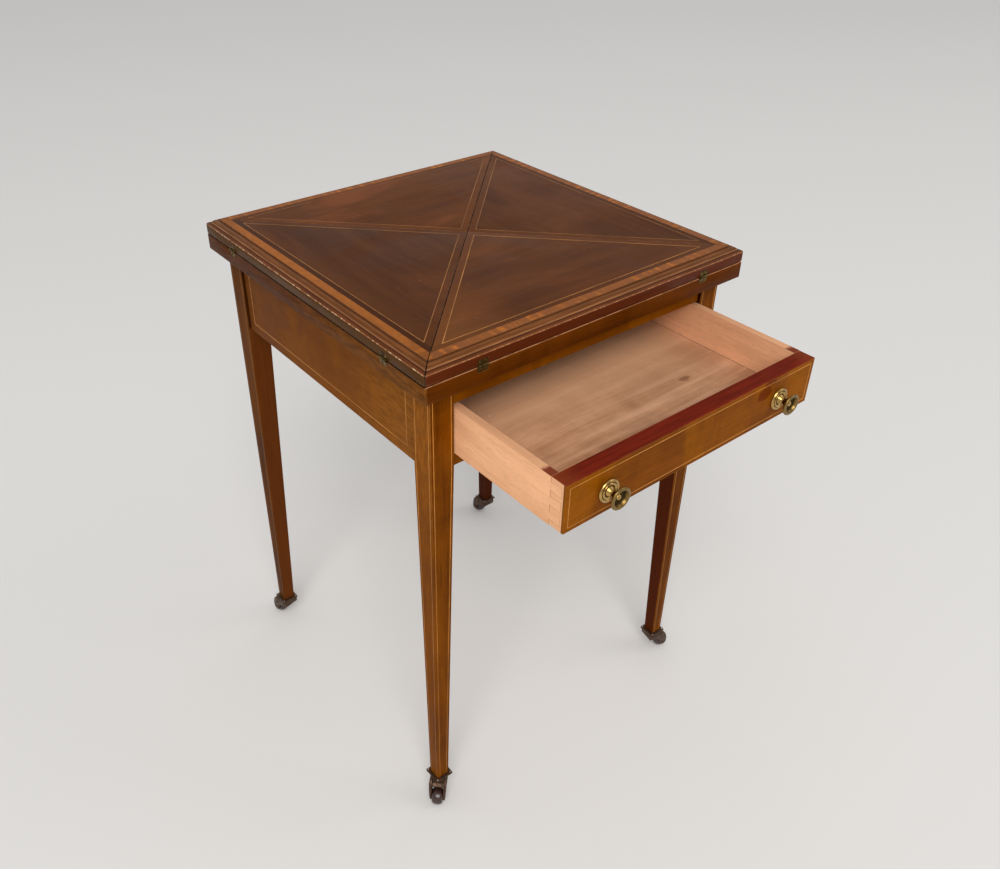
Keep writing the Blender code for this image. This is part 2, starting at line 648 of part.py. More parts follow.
def leaf_section():
    """Cut across a leaf's moulded edge, as (inset from the outer face, height over the underside)."""
    arris = LEAF_THICKNESS - EDGE_RISE
    bead = arc((BEAD_INSET, arris), (BEAD_INSET, BEAD_RISE), math.pi, math.pi / 2, MOULDING_STEPS)
    ovolo_foot = arris + OVOLO_FOOT_RISE
    ovolo_top = LEAF_THICKNESS - STEP_DEPTH
    ovolo = arc((OVOLO_INSET, ovolo_foot), (OVOLO_INSET - OVOLO_FOOT_INSET, ovolo_top - ovolo_foot),
                math.pi, math.pi / 2, MOULDING_STEPS)
    return [(0, 0)] + bead + ovolo + [(STEP_INSET, ovolo_top), (STEP_INSET, LEAF_THICKNESS),
                                      (HINGE_REACH, LEAF_THICKNESS), (HINGE_REACH, 0)]


def mitre(bm, half_gap):
    """Cuts away what lies beyond the two diagonals, less half the gap along them."""
    for side in (-1, 1):
        normal = Vector((side, 1, 0)).normalized()
        cut = bmesh.ops.bisect_plane(bm, geom=bm.verts[:] + bm.edges[:] + bm.faces[:],
                                     plane_co=-normal * half_gap, plane_no=normal, clear_outer=True)
        edges = [e for e in cut["geom_cut"] if isinstance(e, bmesh.types.BMEdge)]
        bmesh.ops.edgeloop_fill(bm, edges=edges)
    bmesh.ops.recalc_face_normals(bm, faces=bm.faces)


def leaf_mesh():
    placing = plane_placing((0, 1, 0), (0, 0, 1), (0, -BED_REACH, LEAF_BOTTOM))
    section = outline_mesh("leaf", leaf_section(), 2 * BED_REACH, placing)
    bm = bmesh.new()
    bm.from_mesh(section)
    mitre(bm, MITRE_HALF_GAP)
    return finish_mesh(bm, "leaf")


def leaf_baize_mesh():
    bm = bmesh.new()
    add_box(bm, (-BED_REACH, -HINGE_REACH + BAIZE_EDGE_INSET, LEAF_BOTTOM - GAP - BAIZE_THICKNESS),
            (BED_REACH, CUT_OVERRUN, LEAF_BOTTOM - GAP))
    mitre(bm, LEAF_BORDER)
    return finish_mesh(bm, "leaf_baize")


def build_leaves():
    pivot = (0, -HINGE_REACH, HINGE_HEIGHT)
    leaf, baize = leaf_mesh(), leaf_baize_mesh()
    for mesh, material in ((leaf, LEAF_WOOD), (baize, BAIZE)):
        mesh.transform(Matrix.Translation(-Vector(pivot)))
        mesh.materials.append(material)
    mortises = hinge_mortises(1)
    for name, turn in SIDES.items():
        at = Matrix.Rotation(turn, 3, "Z") @ Vector(pivot)
        wood = add_object(f"leaf_{name}", leaf, LEAF_WOOD, turn=turn, moved=at)
        combine(wood, add_cutter(f"leaf_mortises_{name}", mortises, location=at, turn=turn))
        add_object(f"leaf_baize_{name}", baize, BAIZE, turn=turn, moved=at)


def build_bed():
    bm = bmesh.new()
    add_box(bm, (-BED_REACH, -BED_REACH, BED_BOTTOM), (BED_REACH, BED_REACH, BED_TOP))
    lower = [e for e in bm.edges if max(v.co.z for v in e.verts) < (BED_BOTTOM + BED_TOP) / 2]
    bmesh.ops.bevel(bm, geom=lower, offset=BED_ARRIS, offset_type="OFFSET", segments=2, profile=0.5,
                    affect="EDGES")
    bed = add_object("bed_board", finish_mesh(bm, "bed_board"), LEAF_WOOD, (0, 0, BED_BOTTOM))
    mortises = hinge_mortises(-1)
    for name, turn in SIDES.items():
        at = Matrix.Rotation(turn, 3, "Z") @ Vector((0, -HINGE_REACH, HINGE_HEIGHT))
        combine(bed, add_cutter(f"bed_mortises_{name}", mortises, location=at, turn=turn))
    recess = bmesh.new()
    add_cylinder(recess, (0, 0, BED_BOTTOM - CUT_OVERRUN), (0, 0, BED_BOTTOM + PIVOT_FLANGE_THICKNESS + GAP),
                 PIVOT_FLANGE_RADIUS + GAP, sides=ROUND_SIDES * 2)
    x, y = stop_peg_at()
    add_cylinder(recess, (x, y, BED_BOTTOM - CUT_OVERRUN), (x, y, BED_BOTTOM + STOP_PEG_IN_BED + GAP),
                 STOP_PEG_RADIUS + GAP)
    combine(bed, add_cutter("bed_recesses", finish_mesh(recess, "bed_recesses")))

    edge = HINGE_REACH - BAIZE_EDGE_INSET
    add_object("bed_baize", box_mesh("bed_baize", (-edge, -edge, BED_TOP + GAP),
                                     (edge, edge, BED_TOP + GAP + BAIZE_THICKNESS)), BAIZE)


# Drawer

def tail_heights(low, high, shares):
    return [low + (high - low) * share for share in shares]


def tail_outline(height, root, end, play=0.0, before=0.0, beyond=0.0):
    """A dovetail in side view, from its root to its wider end, as (y, z) points. A socket is the same
    with play, drawn out before the root and beyond the end."""
    out = 1 if end > root else -1
    slope = TAIL_TAPER / abs(end - root)
    narrow = TAIL_WIDTH / 2 - TAIL_TAPER + play - slope * before
    wide = TAIL_WIDTH / 2 + play + slope * beyond
    start, stop = root - out * before, end + out * beyond
    return [(start, height - out * narrow), (stop, height - out * wide), (stop, height + out * wide),
            (start, height + out * narrow)]


def front_tails():
    return tail_heights(DRAWER_SIDE_BOTTOM, DRAWER_TOP, FRONT_TAIL_SHARES)


def back_tails():
    return tail_heights(BOTTOM_TOP, DRAWER_TOP - DRAWER_BACK_DROP, BACK_TAIL_SHARES)


FRONT_ROOT = DRAWER_FRONT_BACK + GAP
FRONT_END = DRAWER_FACE + LAP_THICKNESS + GAP
REAR_ROOT = DRAWER_BACK_FACE - GAP


def drawer_side_outline():
    """The whole side in side view, with its tails at the front and the rear."""
    points = [(FRONT_ROOT, DRAWER_SIDE_BOTTOM), (DRAWER_REAR, DRAWER_SIDE_BOTTOM), (DRAWER_REAR, BOTTOM_TOP),
              (REAR_ROOT, BOTTOM_TOP)]
    for height in back_tails():
        points += tail_outline(height, REAR_ROOT, DRAWER_REAR)
    points += [(REAR_ROOT, DRAWER_TOP), (FRONT_ROOT, DRAWER_TOP)]
    for height in reversed(front_tails()):
        points += tail_outline(height, FRONT_ROOT, FRONT_END)
    return points


def drawer_pivot():
    return 0, DRAWER_FACE, DRAWER_FRONT_BOTTOM


def add_drawer_part(name, mesh, material):
    """A piece of the drawer, modelled closed and then drawn out."""
    obj = add_object(name, mesh, material, drawer_pivot())
    obj.location.y -= DRAWER_OPEN
    return obj


def drawer_cutter(name, mesh):
    return add_cutter(name, mesh, location=(0, -DRAWER_OPEN, 0))


def socket_cutters(heights, root, end, beyond):
    """Sockets for the tails of both sides, open at the ends of the board that they are cut in."""
    bm = bmesh.new()
    inner = DRAWER_SIDE_INNER - GAP
    outer = DRAWER_HALF_WIDTH + CUT_OVERRUN
    for side in (-1, 1):
        placing = plane_placing((0, 1, 0), (0, 0, 1), (side * (inner + outer) / 2, 0, 0))
        for height in heights:
            outline = tail_outline(height, root, end, GAP, CUT_OVERRUN, beyond)
            bm.from_mesh(outline_mesh("socket", outline, outer - inner, placing))
    return finish_mesh(bm, "sockets")


def bottom_groove_mesh():
    """What the drawer bottom needs cut away, with its play, in the front and both sides."""
    reach = DRAWER_SIDE_INNER + BOTTOM_GROOVE + GAP
    start = DRAWER_FRONT_BACK - BOTTOM_GROOVE - GAP
    return box_mesh("bottom_groove", (-reach, start, BOTTOM_UNDERSIDE - GAP),
                    (reach, DRAWER_REAR + CUT_OVERRUN, BOTTOM_TONGUE_TOP + GAP))


def build_drawer():
    groove = drawer_cutter("bottom_groove", bottom_groove_mesh())

    front = add_drawer_part("drawer_front",
                            box_mesh("drawer_front", (-DRAWER_HALF_WIDTH, DRAWER_FACE, DRAWER_FRONT_BOTTOM),
                                     (DRAWER_HALF_WIDTH, DRAWER_FRONT_BACK, DRAWER_TOP), DRAWER_ARRIS),
                            FRAME_WOOD)
    sockets = socket_cutters(front_tails(), FRONT_ROOT, FRONT_END, GAP)
    combine(front, drawer_cutter("front_sockets", sockets))
    combine(front, groove)
    studs = bmesh.new()
    for side in (-1, 1):
        x = side * KNOB_OFFSET
        add_cylinder(studs, (x, DRAWER_FACE - CUT_OVERRUN, KNOB_HEIGHT),
                     (x, DRAWER_FACE + KNOB_STUD_LENGTH + GAP, KNOB_HEIGHT), KNOB_STUD_RADIUS + GAP)
    combine(front, drawer_cutter("knob_holes", finish_mesh(studs, "knob_holes")))

    for name, side in (("left", -1), ("right", 1)):
        middle = side * (DRAWER_SIDE_INNER + DRAWER_HALF_WIDTH) / 2
        placing = plane_placing((0, 1, 0), (0, 0, 1), (middle, 0, 0))
        mesh = outline_mesh(f"drawer_side_{name}", drawer_side_outline(), DRAWER_SIDE_THICKNESS, placing)
        combine(add_drawer_part(f"drawer_side_{name}", mesh, LINING_WOOD), groove)

    back = add_drawer_part("drawer_back",
                           box_mesh("drawer_back", (-DRAWER_HALF_WIDTH, DRAWER_BACK_FACE, BOTTOM_TOP + GAP),
                                    (DRAWER_HALF_WIDTH, DRAWER_REAR, DRAWER_TOP - DRAWER_BACK_DROP)),
                           LINING_WOOD)
    sockets = socket_cutters(back_tails(), REAR_ROOT, DRAWER_REAR, CUT_OVERRUN)
    combine(back, drawer_cutter("back_sockets", sockets))

    reach = DRAWER_SIDE_INNER + BOTTOM_GROOVE
    tongue = box_mesh("drawer_bottom", (-reach, DRAWER_FRONT_BACK - BOTTOM_GROOVE, BOTTOM_UNDERSIDE),
                      (reach, DRAWER_REAR, BOTTOM_TONGUE_TOP))
    bottom = add_drawer_part("drawer_bottom", tongue, LINING_WOOD)
    reach = DRAWER_SIDE_INNER - GAP
    field = box_mesh("bottom_field", (-reach, DRAWER_FRONT_BACK + GAP, (BOTTOM_UNDERSIDE + BOTTOM_TOP) / 2),
                     (reach, DRAWER_BACK_FACE - GAP, BOTTOM_TOP))
    combine(bottom, drawer_cutter("bottom_field", field), "UNION")


def scaled(shares, radius, height):
    """Points given as shares of a radius and a height."""
    return [(across * radius, up * height) for across, up in shares]


def rosette_ring(centre_shares, size_shares, turn_shares):
    """A half-round ring of the rosette, from its inner foot to its outer one."""
    centre, size = scaled((centre_shares, size_shares), ROSETTE_RADIUS, ROSETTE_THICKNESS)
    start, end = [math.pi * share for share in turn_shares]
    return arc(centre, size, start, end, RING_STEPS)


def knob_profile():
    """A dished ring on a waisted neck, two rings of the rosette, and the stud, as (radius, height);
    heights count outwards from the drawer front."""
    head = scaled(BOSS_SHARES + DISH_SHARES + RIM_SHARES + NECK_SHARES, KNOB_RADIUS, KNOB_LENGTH)
    floor_reach, floor_height = scaled((ROSETTE_FLOOR_SHARES,), ROSETTE_RADIUS, ROSETTE_THICKNESS)[0]
    neck = [(KNOB_NECK_RADIUS, KNOB_LENGTH * NECK_TOP_SHARE), (KNOB_NECK_RADIUS, floor_height),
            (floor_reach, floor_height)]
    rings = rosette_ring(INNER_RING_CENTRE_SHARES, INNER_RING_SIZE_SHARES, INNER_RING_TURN_SHARES)
    rings += rosette_ring(OUTER_RING_CENTRE_SHARES, OUTER_RING_SIZE_SHARES, OUTER_RING_TURN_SHARES)
    stud = [(ROSETTE_RADIUS, GAP), (KNOB_STUD_RADIUS, GAP), (KNOB_STUD_RADIUS, -KNOB_STUD_LENGTH),
            (0, -KNOB_STUD_LENGTH)]
    return head + neck + rings + stud


def build_knobs():
    face = -RAIL_OUTER - DRAWER_OPEN
    for name, side in (("left", -1), ("right", 1)):
        knob = add_object(f"knob_{name}", profile_mesh(f"knob_{name}", knob_profile()), BRASS,
                          moved=(side * KNOB_OFFSET, face, KNOB_HEIGHT))
        knob.rotation_euler = (math.pi / 2, 0, 0)
        add_turning(knob, KNOB_STEPS)


# Casters: each is modelled with its swivel axis on Z and its wheel trailing along +X

def caster_heights():
    plate_top = CASTER_HEIGHT - GAP
    plate_bottom = plate_top - CASTER_PLATE_THICKNESS
    horn_top = plate_bottom - GAP
    crown_bottom = horn_top - HORN_CROWN_THICKNESS
    return plate_top, plate_bottom, horn_top, crown_bottom


def horn_side_outline():
    """The horn seen from the side: its crown over the leg, then down to the eye for the axle."""
    horn_top, crown_bottom = caster_heights()[2:]
    axle = (CASTER_TRAIL, WHEEL_RADIUS)
    crown, eye = HORN_CROWN_RADIUS, HORN_EYE_RADIUS
    quarter = math.pi / 2
    trailing = arc((crown, WHEEL_RADIUS), (axle[0] + eye - crown, horn_top - WHEEL_RADIUS), quarter, 0)
    around_eye = arc(axle, eye, 0, -math.pi)[1:]
    leading = arc((-crown, WHEEL_RADIUS), (axle[0] - eye + crown, crown_bottom - WHEEL_RADIUS), 0, quarter)
    return trailing + around_eye + leading[1:] + [(-crown, horn_top)]


def horn_front_outline():
    """The horn seen along its trail: round shoulders, then cheeks that lean in towards the axle."""
    horn_top = caster_heights()[2]
    crown, top, foot = HORN_CROWN_HALF_WIDTH, HORN_TOP_HALF_WIDTH, HORN_FOOT_HALF_WIDTH
    low = -CUT_OVERRUN
    shoulder = arc((crown, horn_top - HORN_SHOULDER_DROP), (top - crown, HORN_SHOULDER_DROP), 0, math.pi / 2)
    half = [(foot, low)] + shoulder
    return half + [(-x, z) for x, z in reversed(half)]


def horn_mesh():
    """Side and front outlines crossed, cleared for the wheel and the stem, with the axle riveted in."""
    horn_top, crown_bottom = caster_heights()[2:]
    width = 2 * (HORN_TOP_HALF_WIDTH + CUT_OVERRUN)
    side = outline_mesh("horn", horn_side_outline(), width, plane_placing((1, 0, 0), (0, 0, 1)))
    horn = add_cutter("horn_body", side, parent=None)
    length = 2 * (CASTER_TRAIL + HORN_CROWN_RADIUS)
    front = outline_mesh("horn_front", horn_front_outline(), length, plane_placing((0, 1, 0), (0, 0, 1)))
    combine(horn, add_cutter("horn_front", front, parent=None), "INTERSECT")

    slot = WHEEL_HALF_WIDTH + WHEEL_SIDE_PLAY
    wheel_room = bmesh.new()
    add_cylinder(wheel_room, (CASTER_TRAIL, -slot, WHEEL_RADIUS), (CASTER_TRAIL, slot, WHEEL_RADIUS),
                 WHEEL_RADIUS + HORN_SLOT_CLEARANCE, WHEEL_STEPS)
    open_back = bmesh.new()
    add_box(open_back, (HORN_CROWN_RADIUS, -slot, -CUT_OVERRUN),
            (CASTER_TRAIL + WHEEL_RADIUS + CUT_OVERRUN, slot, horn_top + CUT_OVERRUN))
    stem = bmesh.new()
    add_cylinder(stem, (0, 0, crown_bottom - CUT_OVERRUN), (0, 0, horn_top + CUT_OVERRUN), STEM_RADIUS + GAP)
    head = bmesh.new()
    add_cylinder(head, (0, 0, -CUT_OVERRUN), (0, 0, crown_bottom + GAP), STEM_HEAD_RADIUS + GAP)
    for name, bm in (("wheel_room", wheel_room), ("open_back", open_back), ("stem_hole", stem),
                     ("head_room", head)):
        combine(horn, add_cutter(name, finish_mesh(bm, name), parent=None))
    axle = bmesh.new()
    reach = (HORN_FOOT_HALF_WIDTH + HORN_TOP_HALF_WIDTH) / 2
    add_cylinder(axle, (CASTER_TRAIL, -reach, WHEEL_RADIUS), (CASTER_TRAIL, reach, WHEEL_RADIUS),
                 AXLE_RADIUS, KNUCKLE_SIDES)
    combine(horn, add_cutter("axle", finish_mesh(axle, "axle"), parent=None), "UNION")
    return evaluated_mesh(horn, "horn")


def caster_plate_mesh():
    """Square plate with the stem that the horn turns on, riveted over below the crown."""
    plate_top, plate_bottom, _, crown_bottom = caster_heights()
    half = CASTER_PLATE_WIDTH / 2
    plate = add_cutter("caster_plate_body",
                       box_mesh("caster_plate", (-half, -half, plate_bottom), (half, half, plate_top),
                                CASTER_PLATE_ARRIS), parent=None)
    head_bottom = crown_bottom - STEM_HEAD_THICKNESS
    inside = plate_bottom + CASTER_PLATE_THICKNESS / 2
    profile = [(0, inside), (STEM_RADIUS, inside), (STEM_RADIUS, crown_bottom),
               (STEM_HEAD_RADIUS, crown_bottom), (STEM_HEAD_RADIUS - GAP, head_bottom), (0, head_bottom)]
    stem = add_cutter("caster_stem", profile_mesh("caster_stem", profile), parent=None)
    add_turning(stem, ROUND_SIDES)
    combine(plate, stem, "UNION")
    return evaluated_mesh(plate, "caster_plate")


def wheel_profile():
    """A barrel-shaped tread with a bore; the wheel turns about its own Z."""
    tread = []
    for i in range(WHEEL_TREAD_STEPS + 1):
        share = 1 - 2 * i / WHEEL_TREAD_STEPS
        crowning = WHEEL_CROWNING * abs(share) ** WHEEL_CROWNING_POWER
        tread.append((WHEEL_RADIUS - crowning, WHEEL_HALF_WIDTH * share))
    bore = AXLE_RADIUS + GAP
    return tread + [(bore, -WHEEL_HALF_WIDTH), (bore, WHEEL_HALF_WIDTH)]


def build_casters():
    plate, horn = caster_plate_mesh(), horn_mesh()
    for mesh, material in ((plate, CASTER_METAL), (horn, CASTER_METAL)):
        mesh.materials.clear()
        mesh.materials.append(material)
    wheel = profile_mesh("caster_wheel", wheel_profile(), closed=True)
    for corner, (side_x, side_y) in CORNERS.items():
        turn = TRAIL_ANGLES[corner]
        foot = Vector((side_x * FOOT_CENTRE, side_y * FOOT_CENTRE, 0))
        axle = foot + Matrix.Rotation(turn, 3, "Z") @ Vector((CASTER_TRAIL, 0, WHEEL_RADIUS))
        add_object(f"caster_plate_{corner}", plate, CASTER_METAL, moved=foot)
        add_object(f"caster_horn_{corner}", horn, CASTER_METAL, turn=turn, moved=foot)
        spinner = add_object(f"caster_wheel_{corner}", wheel, WHEEL_BROWN, moved=axle)
        spinner.rotation_euler = (math.pi / 2, 0, turn)
        add_turning(spinner, WHEEL_STEPS)


LEAF_WOOD = new_material("top_mahogany", TOP_MAHOGANY, 0.32, 0.0)
FRAME_WOOD = new_material("frame_mahogany", FRAME_MAHOGANY, 0.30, 0.0)
LINING_WOOD = new_material("drawer_lining", DRAWER_LINING, 0.55, 0.0)
CARCASE_WOOD = new_material("secondary_wood", SECONDARY_WOOD, 0.65, 0.0)
BAIZE = new_material("green_baize", GREEN_BAIZE, 0.95, 0.0)
BRASS = new_material("aged_brass", AGED_BRASS, 0.30, 1.0)
CASTER_METAL = new_material("dark_brass", DARK_BRASS, 0.42, 1.0)
STEEL_PARTS = new_material("steel", STEEL, 0.40, 1.0)
WHEEL_BROWN = new_material("brown_wheel", BROWN_WHEEL, 0.22, 0.0)

build_legs()
build_rails()
build_runners()
build_pivot()
build_bed()
build_leaves()
build_hinges()
build_drawer()
build_knobs()
build_casters()
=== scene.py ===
"""Looks of an envelope card table in inlaid mahogany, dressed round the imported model.

Every operator of the add-on makes or finishes one kind of piece, in metres, +Z up, drawer towards -Y.
"""
import functools
import json
import math

import bmesh
import bpy
from bpy.props import FloatProperty, FloatVectorProperty, PointerProperty
from mathutils import Matrix, Vector


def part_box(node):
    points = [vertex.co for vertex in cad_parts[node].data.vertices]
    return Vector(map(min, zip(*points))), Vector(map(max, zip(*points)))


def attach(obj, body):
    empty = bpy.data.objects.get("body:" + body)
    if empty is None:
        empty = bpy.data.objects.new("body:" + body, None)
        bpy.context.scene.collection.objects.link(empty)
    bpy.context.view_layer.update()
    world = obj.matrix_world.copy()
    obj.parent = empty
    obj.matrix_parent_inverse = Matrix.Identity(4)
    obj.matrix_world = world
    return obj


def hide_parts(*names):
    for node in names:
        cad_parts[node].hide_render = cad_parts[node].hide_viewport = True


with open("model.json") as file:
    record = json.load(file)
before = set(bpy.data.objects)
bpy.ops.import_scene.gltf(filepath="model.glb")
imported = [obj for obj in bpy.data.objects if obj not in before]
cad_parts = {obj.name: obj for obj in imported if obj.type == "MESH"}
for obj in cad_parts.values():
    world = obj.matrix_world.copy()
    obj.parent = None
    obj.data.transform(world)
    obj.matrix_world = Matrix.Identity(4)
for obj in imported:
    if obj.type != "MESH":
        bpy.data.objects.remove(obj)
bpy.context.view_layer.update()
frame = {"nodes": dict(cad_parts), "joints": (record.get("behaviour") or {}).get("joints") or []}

bl_info = {
    "name": "Envelope card table looks",
    "version": (1, 0, 0),
    "blender": (4, 5, 0),
    "location": "View3D > Sidebar > Card Table",
    "description": "Veneers, stringing, brass and baize for an envelope card table",
    "category": "Object",
}

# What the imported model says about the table
BED_LOW, BED_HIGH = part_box("bed_board")
CENTRE = Vector(((BED_LOW.x + BED_HIGH.x) / 2, (BED_LOW.y + BED_HIGH.y) / 2, 0))
REACH = (BED_HIGH.x - BED_LOW.x) / 2
TOP_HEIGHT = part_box("leaf_front")[1].z
BAIZE_LEAF_LOW, BAIZE_LEAF_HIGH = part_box("leaf_baize_front")
BAIZE_BED_LOW, BAIZE_BED_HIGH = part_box("bed_baize")
RAIL_LOW, RAIL_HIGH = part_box("rail_left")
FRONT_LOW, FRONT_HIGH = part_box("drawer_front")
FLOOR_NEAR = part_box("drawer_bottom")[0].y
SIDE_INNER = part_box("drawer_side_right")[0].x
LEG_FOOT, LEG_TOP = (corner.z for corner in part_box("leg_front_left"))

SIDES = {"front": 0.0, "right": math.pi / 2, "back": math.pi, "left": -math.pi / 2}
CORNERS = {"front_left": (-1, -1), "front_right": (1, -1), "back_left": (-1, 1), "back_right": (1, 1)}

# Sizes that the frame doesn't tell
LEG_WIDTH = 0.033
FOOT_WIDTH = 0.019
LEG_OUTER = 0.239
TAPER_START = 0.5978
RAIL_INSET = 0.014
RAIL_NEAR_INSET = 0.0197
MOULDING_WIDTH = 0.0146
ARRIS_HEIGHT = TOP_HEIGHT - 0.008
BORDER_START, BORDER_END = 0.0255, 0.0338
SEAM_GAP = 0.0008
SEAM_BORDER = 0.0100
INLAY_DEPTH = 0.0005
LEAF_EASING, BED_EASING, HORN_EASING = 0.00035, 0.0005, 0.00035
LEG_STRING_TOP_GAP, LEG_STRING_FOOT_GAP = 0.004, 0.0006
SCREW_SPREAD, SCREW_LIFT, SCREW_DEPTH = 0.0043, 0.0011, 0.0004
RIVET_INSET, RIVET_FLATNESS = 0.0025, 0.55

# The hood on a caster's crown: half its width, and its outline in millimetres along the trail and in height
HOOD_HALF_WIDTH = 0.00885
HOOD_OUTLINE = ((8.0, 30.5), (8.0, 24.0), (11.0, 24.4), (13.0, 25.4), (15.2, 26.2), (15.6, 26.8), (15.0, 27.7),
                (13.4, 29.3), (11.2, 30.5))

# One half of a caster wheel's outline, from its bore round to its tread, in millimetres of radius and height
WHEEL_TREAD = ((2.2, 8.2), (7.2, 8.25), (9.0, 8.05), (10.3, 7.3), (11.45, 5.9), (12.3, 4.0), (12.7, 1.5))

# A knob's curves from the middle of its dished face round to its ringed rosette, and its stud, in millimetres of
# radius and height: boss, dish, rim, cup, waist, floor, inner ring, outer ring
KNOB_CURVES = (((0, 16.8), (1.6, 16.7), (2.9, 16.2), (3.9, 15.0), (4.6, 14.0)),
               ((4.6, 14.0), (6.2, 14.2), (7.9, 15.4), (9.3, 17.5), (9.9, 18.9)),
               ((9.9, 18.9), (11.0, 19.5), (12.6, 19.2), (13.7, 18.2), (13.6, 16.8), (12.4, 15.8)),
               ((12.4, 15.8), (10.4, 14.9), (8.5, 13.8)),
               ((8.5, 13.8), (5.6, 11.2), (4.0, 9.2), (3.8, 7.4), (4.6, 5.2), (6.0, 3.0), (6.6, 1.9)),
               ((6.6, 1.9), (6.9, 1.4)),
               ((6.9, 1.4), (7.4, 2.7), (8.9, 3.6), (10.3, 2.7), (10.5, 1.5)),
               ((10.5, 1.5), (11.0, 2.3), (12.3, 3.1), (13.7, 2.5), (14.5, 1.0), (14.5, 0.3)))
KNOB_STUD = ((14.5, 0.3), (2.2, 0.3), (2.2, -14.0), (0, -14.0))

# Steps round a turning, cells across the bed's baize, and cuts in each edge of a leaf's baize
KNOB_STEPS, WHEEL_STEPS = 72, 56
BED_CELLS, LEAF_CUTS = 48, 12

# The studio: its floor's radius, and each lamp's name, place, width and power in watts
FLOOR_RADIUS = 14.0
LAMPS = (("key_light", (-4.0, -4.8, 6.4), 5.0, 430), ("fill_light", (6.0, -4.4, 5.2), 4.4, 90))
LAMP_AIM = Vector((0, 0.05, 0.5))

# The photograph's camera: its place, with Y from the table's centre, its yaw, pitch and roll in degrees, its lens,
# and the nearest and farthest that it sees
CAMERA_X, CAMERA_Y, CAMERA_HEIGHT = -0.7236, -0.9200, 1.2422
CAMERA_ANGLES = (38.5511, -33.6966, 0.4133)
LENS_MM, SENSOR_MM = 33.417, 36
LENS_SHIFT = (0.02829, -0.01999)
NEAREST, FARTHEST = 0.05, 100

WELD = 0.000002
FLAT_ANGLE = math.radians(0.6)
SHARP_ANGLE = math.radians(48)
SMOOTH_ANGLE = math.radians(38)
KNOB_SMOOTH_ANGLE = math.radians(50)


def srgb(red, green, blue):
    """A colour as seen on a screen, 0 to 255, in the linear values that shaders use."""
    shares = [value / 255 for value in (red, green, blue)]
    return tuple(s / 12.92 if s <= 0.04045 else ((s + 0.055) / 1.055) ** 2.4 for s in shares) + (1.0,)


def mixed(first, second, share):
    return tuple(a + (b - a) * share for a, b in zip(first, second))


def scaled(colour, share):
    return tuple(value * share for value in colour[:3]) + (1.0,)


def metres(points):
    """Points in metres from points in millimetres."""
    return [tuple(value / 1000 for value in point) for point in points]


def colour_property(name, description, *screen):
    return FloatVectorProperty(name=name, description=description, subtype="COLOR", size=4, min=0.0, max=1.0,
                               default=srgb(*screen))


def length_property(name, description, length):
    return FloatProperty(name=name, description=description, default=length, min=0.0, precision=5,
                         subtype="DISTANCE", unit="LENGTH")


class CardTableSizes(bpy.types.PropertyGroup):
    """Sizes of the inlay and of the small fittings."""
    string_width: length_property("Top stringing", "Width of the boxwood lines on the leaves", 0.0010)
    fine_string_width: length_property("Frame stringing", "Width of the lines on legs, rails and drawer", 0.0010)
    leg_string_inset: length_property("Leg stringing inset", "From a leg's edge to its lines", 0.0038)
    drawer_string_inset: length_property("Drawer stringing inset", "From the drawer front's edge to its line", 0.0055)
    band_start: length_property("Crossbanding start", "From the table's edge to the crossbanding", 0.0147)
    band_width: length_property("Crossbanding width", "Width of the satinwood crossbanding", 0.0108)
    inlay_proud: length_property("Inlay height", "How far old inlay stands above the shrunk ground", 0.00007)
    arris_radius: length_property("Worn arris", "Radius of the worn edges of polished wood", 0.0006)
    screw_radius: length_property("Hinge screw", "Radius of a hinge screw's head", 0.0014)
    rivet_radius: length_property("Caster rivet", "Radius of a rivet on a caster plate", 0.0012)


class CardTableColours(bpy.types.PropertyGroup):
    """Colours of the woods, the metals and the cloth."""
    top_dark: colour_property("Top, dark", "Darkest grain of the leaves", 74, 35, 12)
    top_light: colour_property("Top, light", "Lightest grain of the leaves", 98, 54, 22)
    frame_dark: colour_property("Frame, dark", "Darkest grain of legs, rails and drawer front", 84, 38, 2)
    frame_light: colour_property("Frame, light", "Lightest grain of legs, rails and drawer front", 136, 74, 4)
    red_stain: colour_property("Red stain", "Stain on the drawer front's upper edge", 108, 31, 15)
    satinwood: colour_property("Satinwood", "Crossbanding of the leaves", 184, 104, 32)
    boxwood: colour_property("Boxwood, top", "Stringing of the leaves", 186, 124, 66)
    golden_boxwood: colour_property("Boxwood, frame", "Stringing of legs, rails and drawer", 206, 138, 62)
    lining_dark: colour_property("Lining, dark", "Darkest grain of the drawer's lining", 190, 132, 92)
    lining_light: colour_property("Lining, light", "Lightest grain of the drawer's lining", 238, 180, 136)
    carcase: colour_property("Carcase wood", "Bare wood inside the frame", 150, 112, 74)
    baize: colour_property("Baize", "Playing surface", 38, 92, 58)
    brass: colour_property("Brass", "High places of the brass", 190, 154, 90)
    brass_dirt: colour_property("Brass dirt", "Hollows of the brass", 40, 28, 12)
    caster_metal: colour_property("Caster metal", "Dark patina of the casters", 88, 62, 44)
    wheel: colour_property("Caster wheel", "Glaze of the wheels", 50, 30, 25)
    iron: colour_property("Iron", "Pivot bolt and nut", 120, 116, 112)


def sizes():
    return bpy.context.scene.card_table_sizes


def colours():
    return bpy.context.scene.card_table_colours


# Shader trees

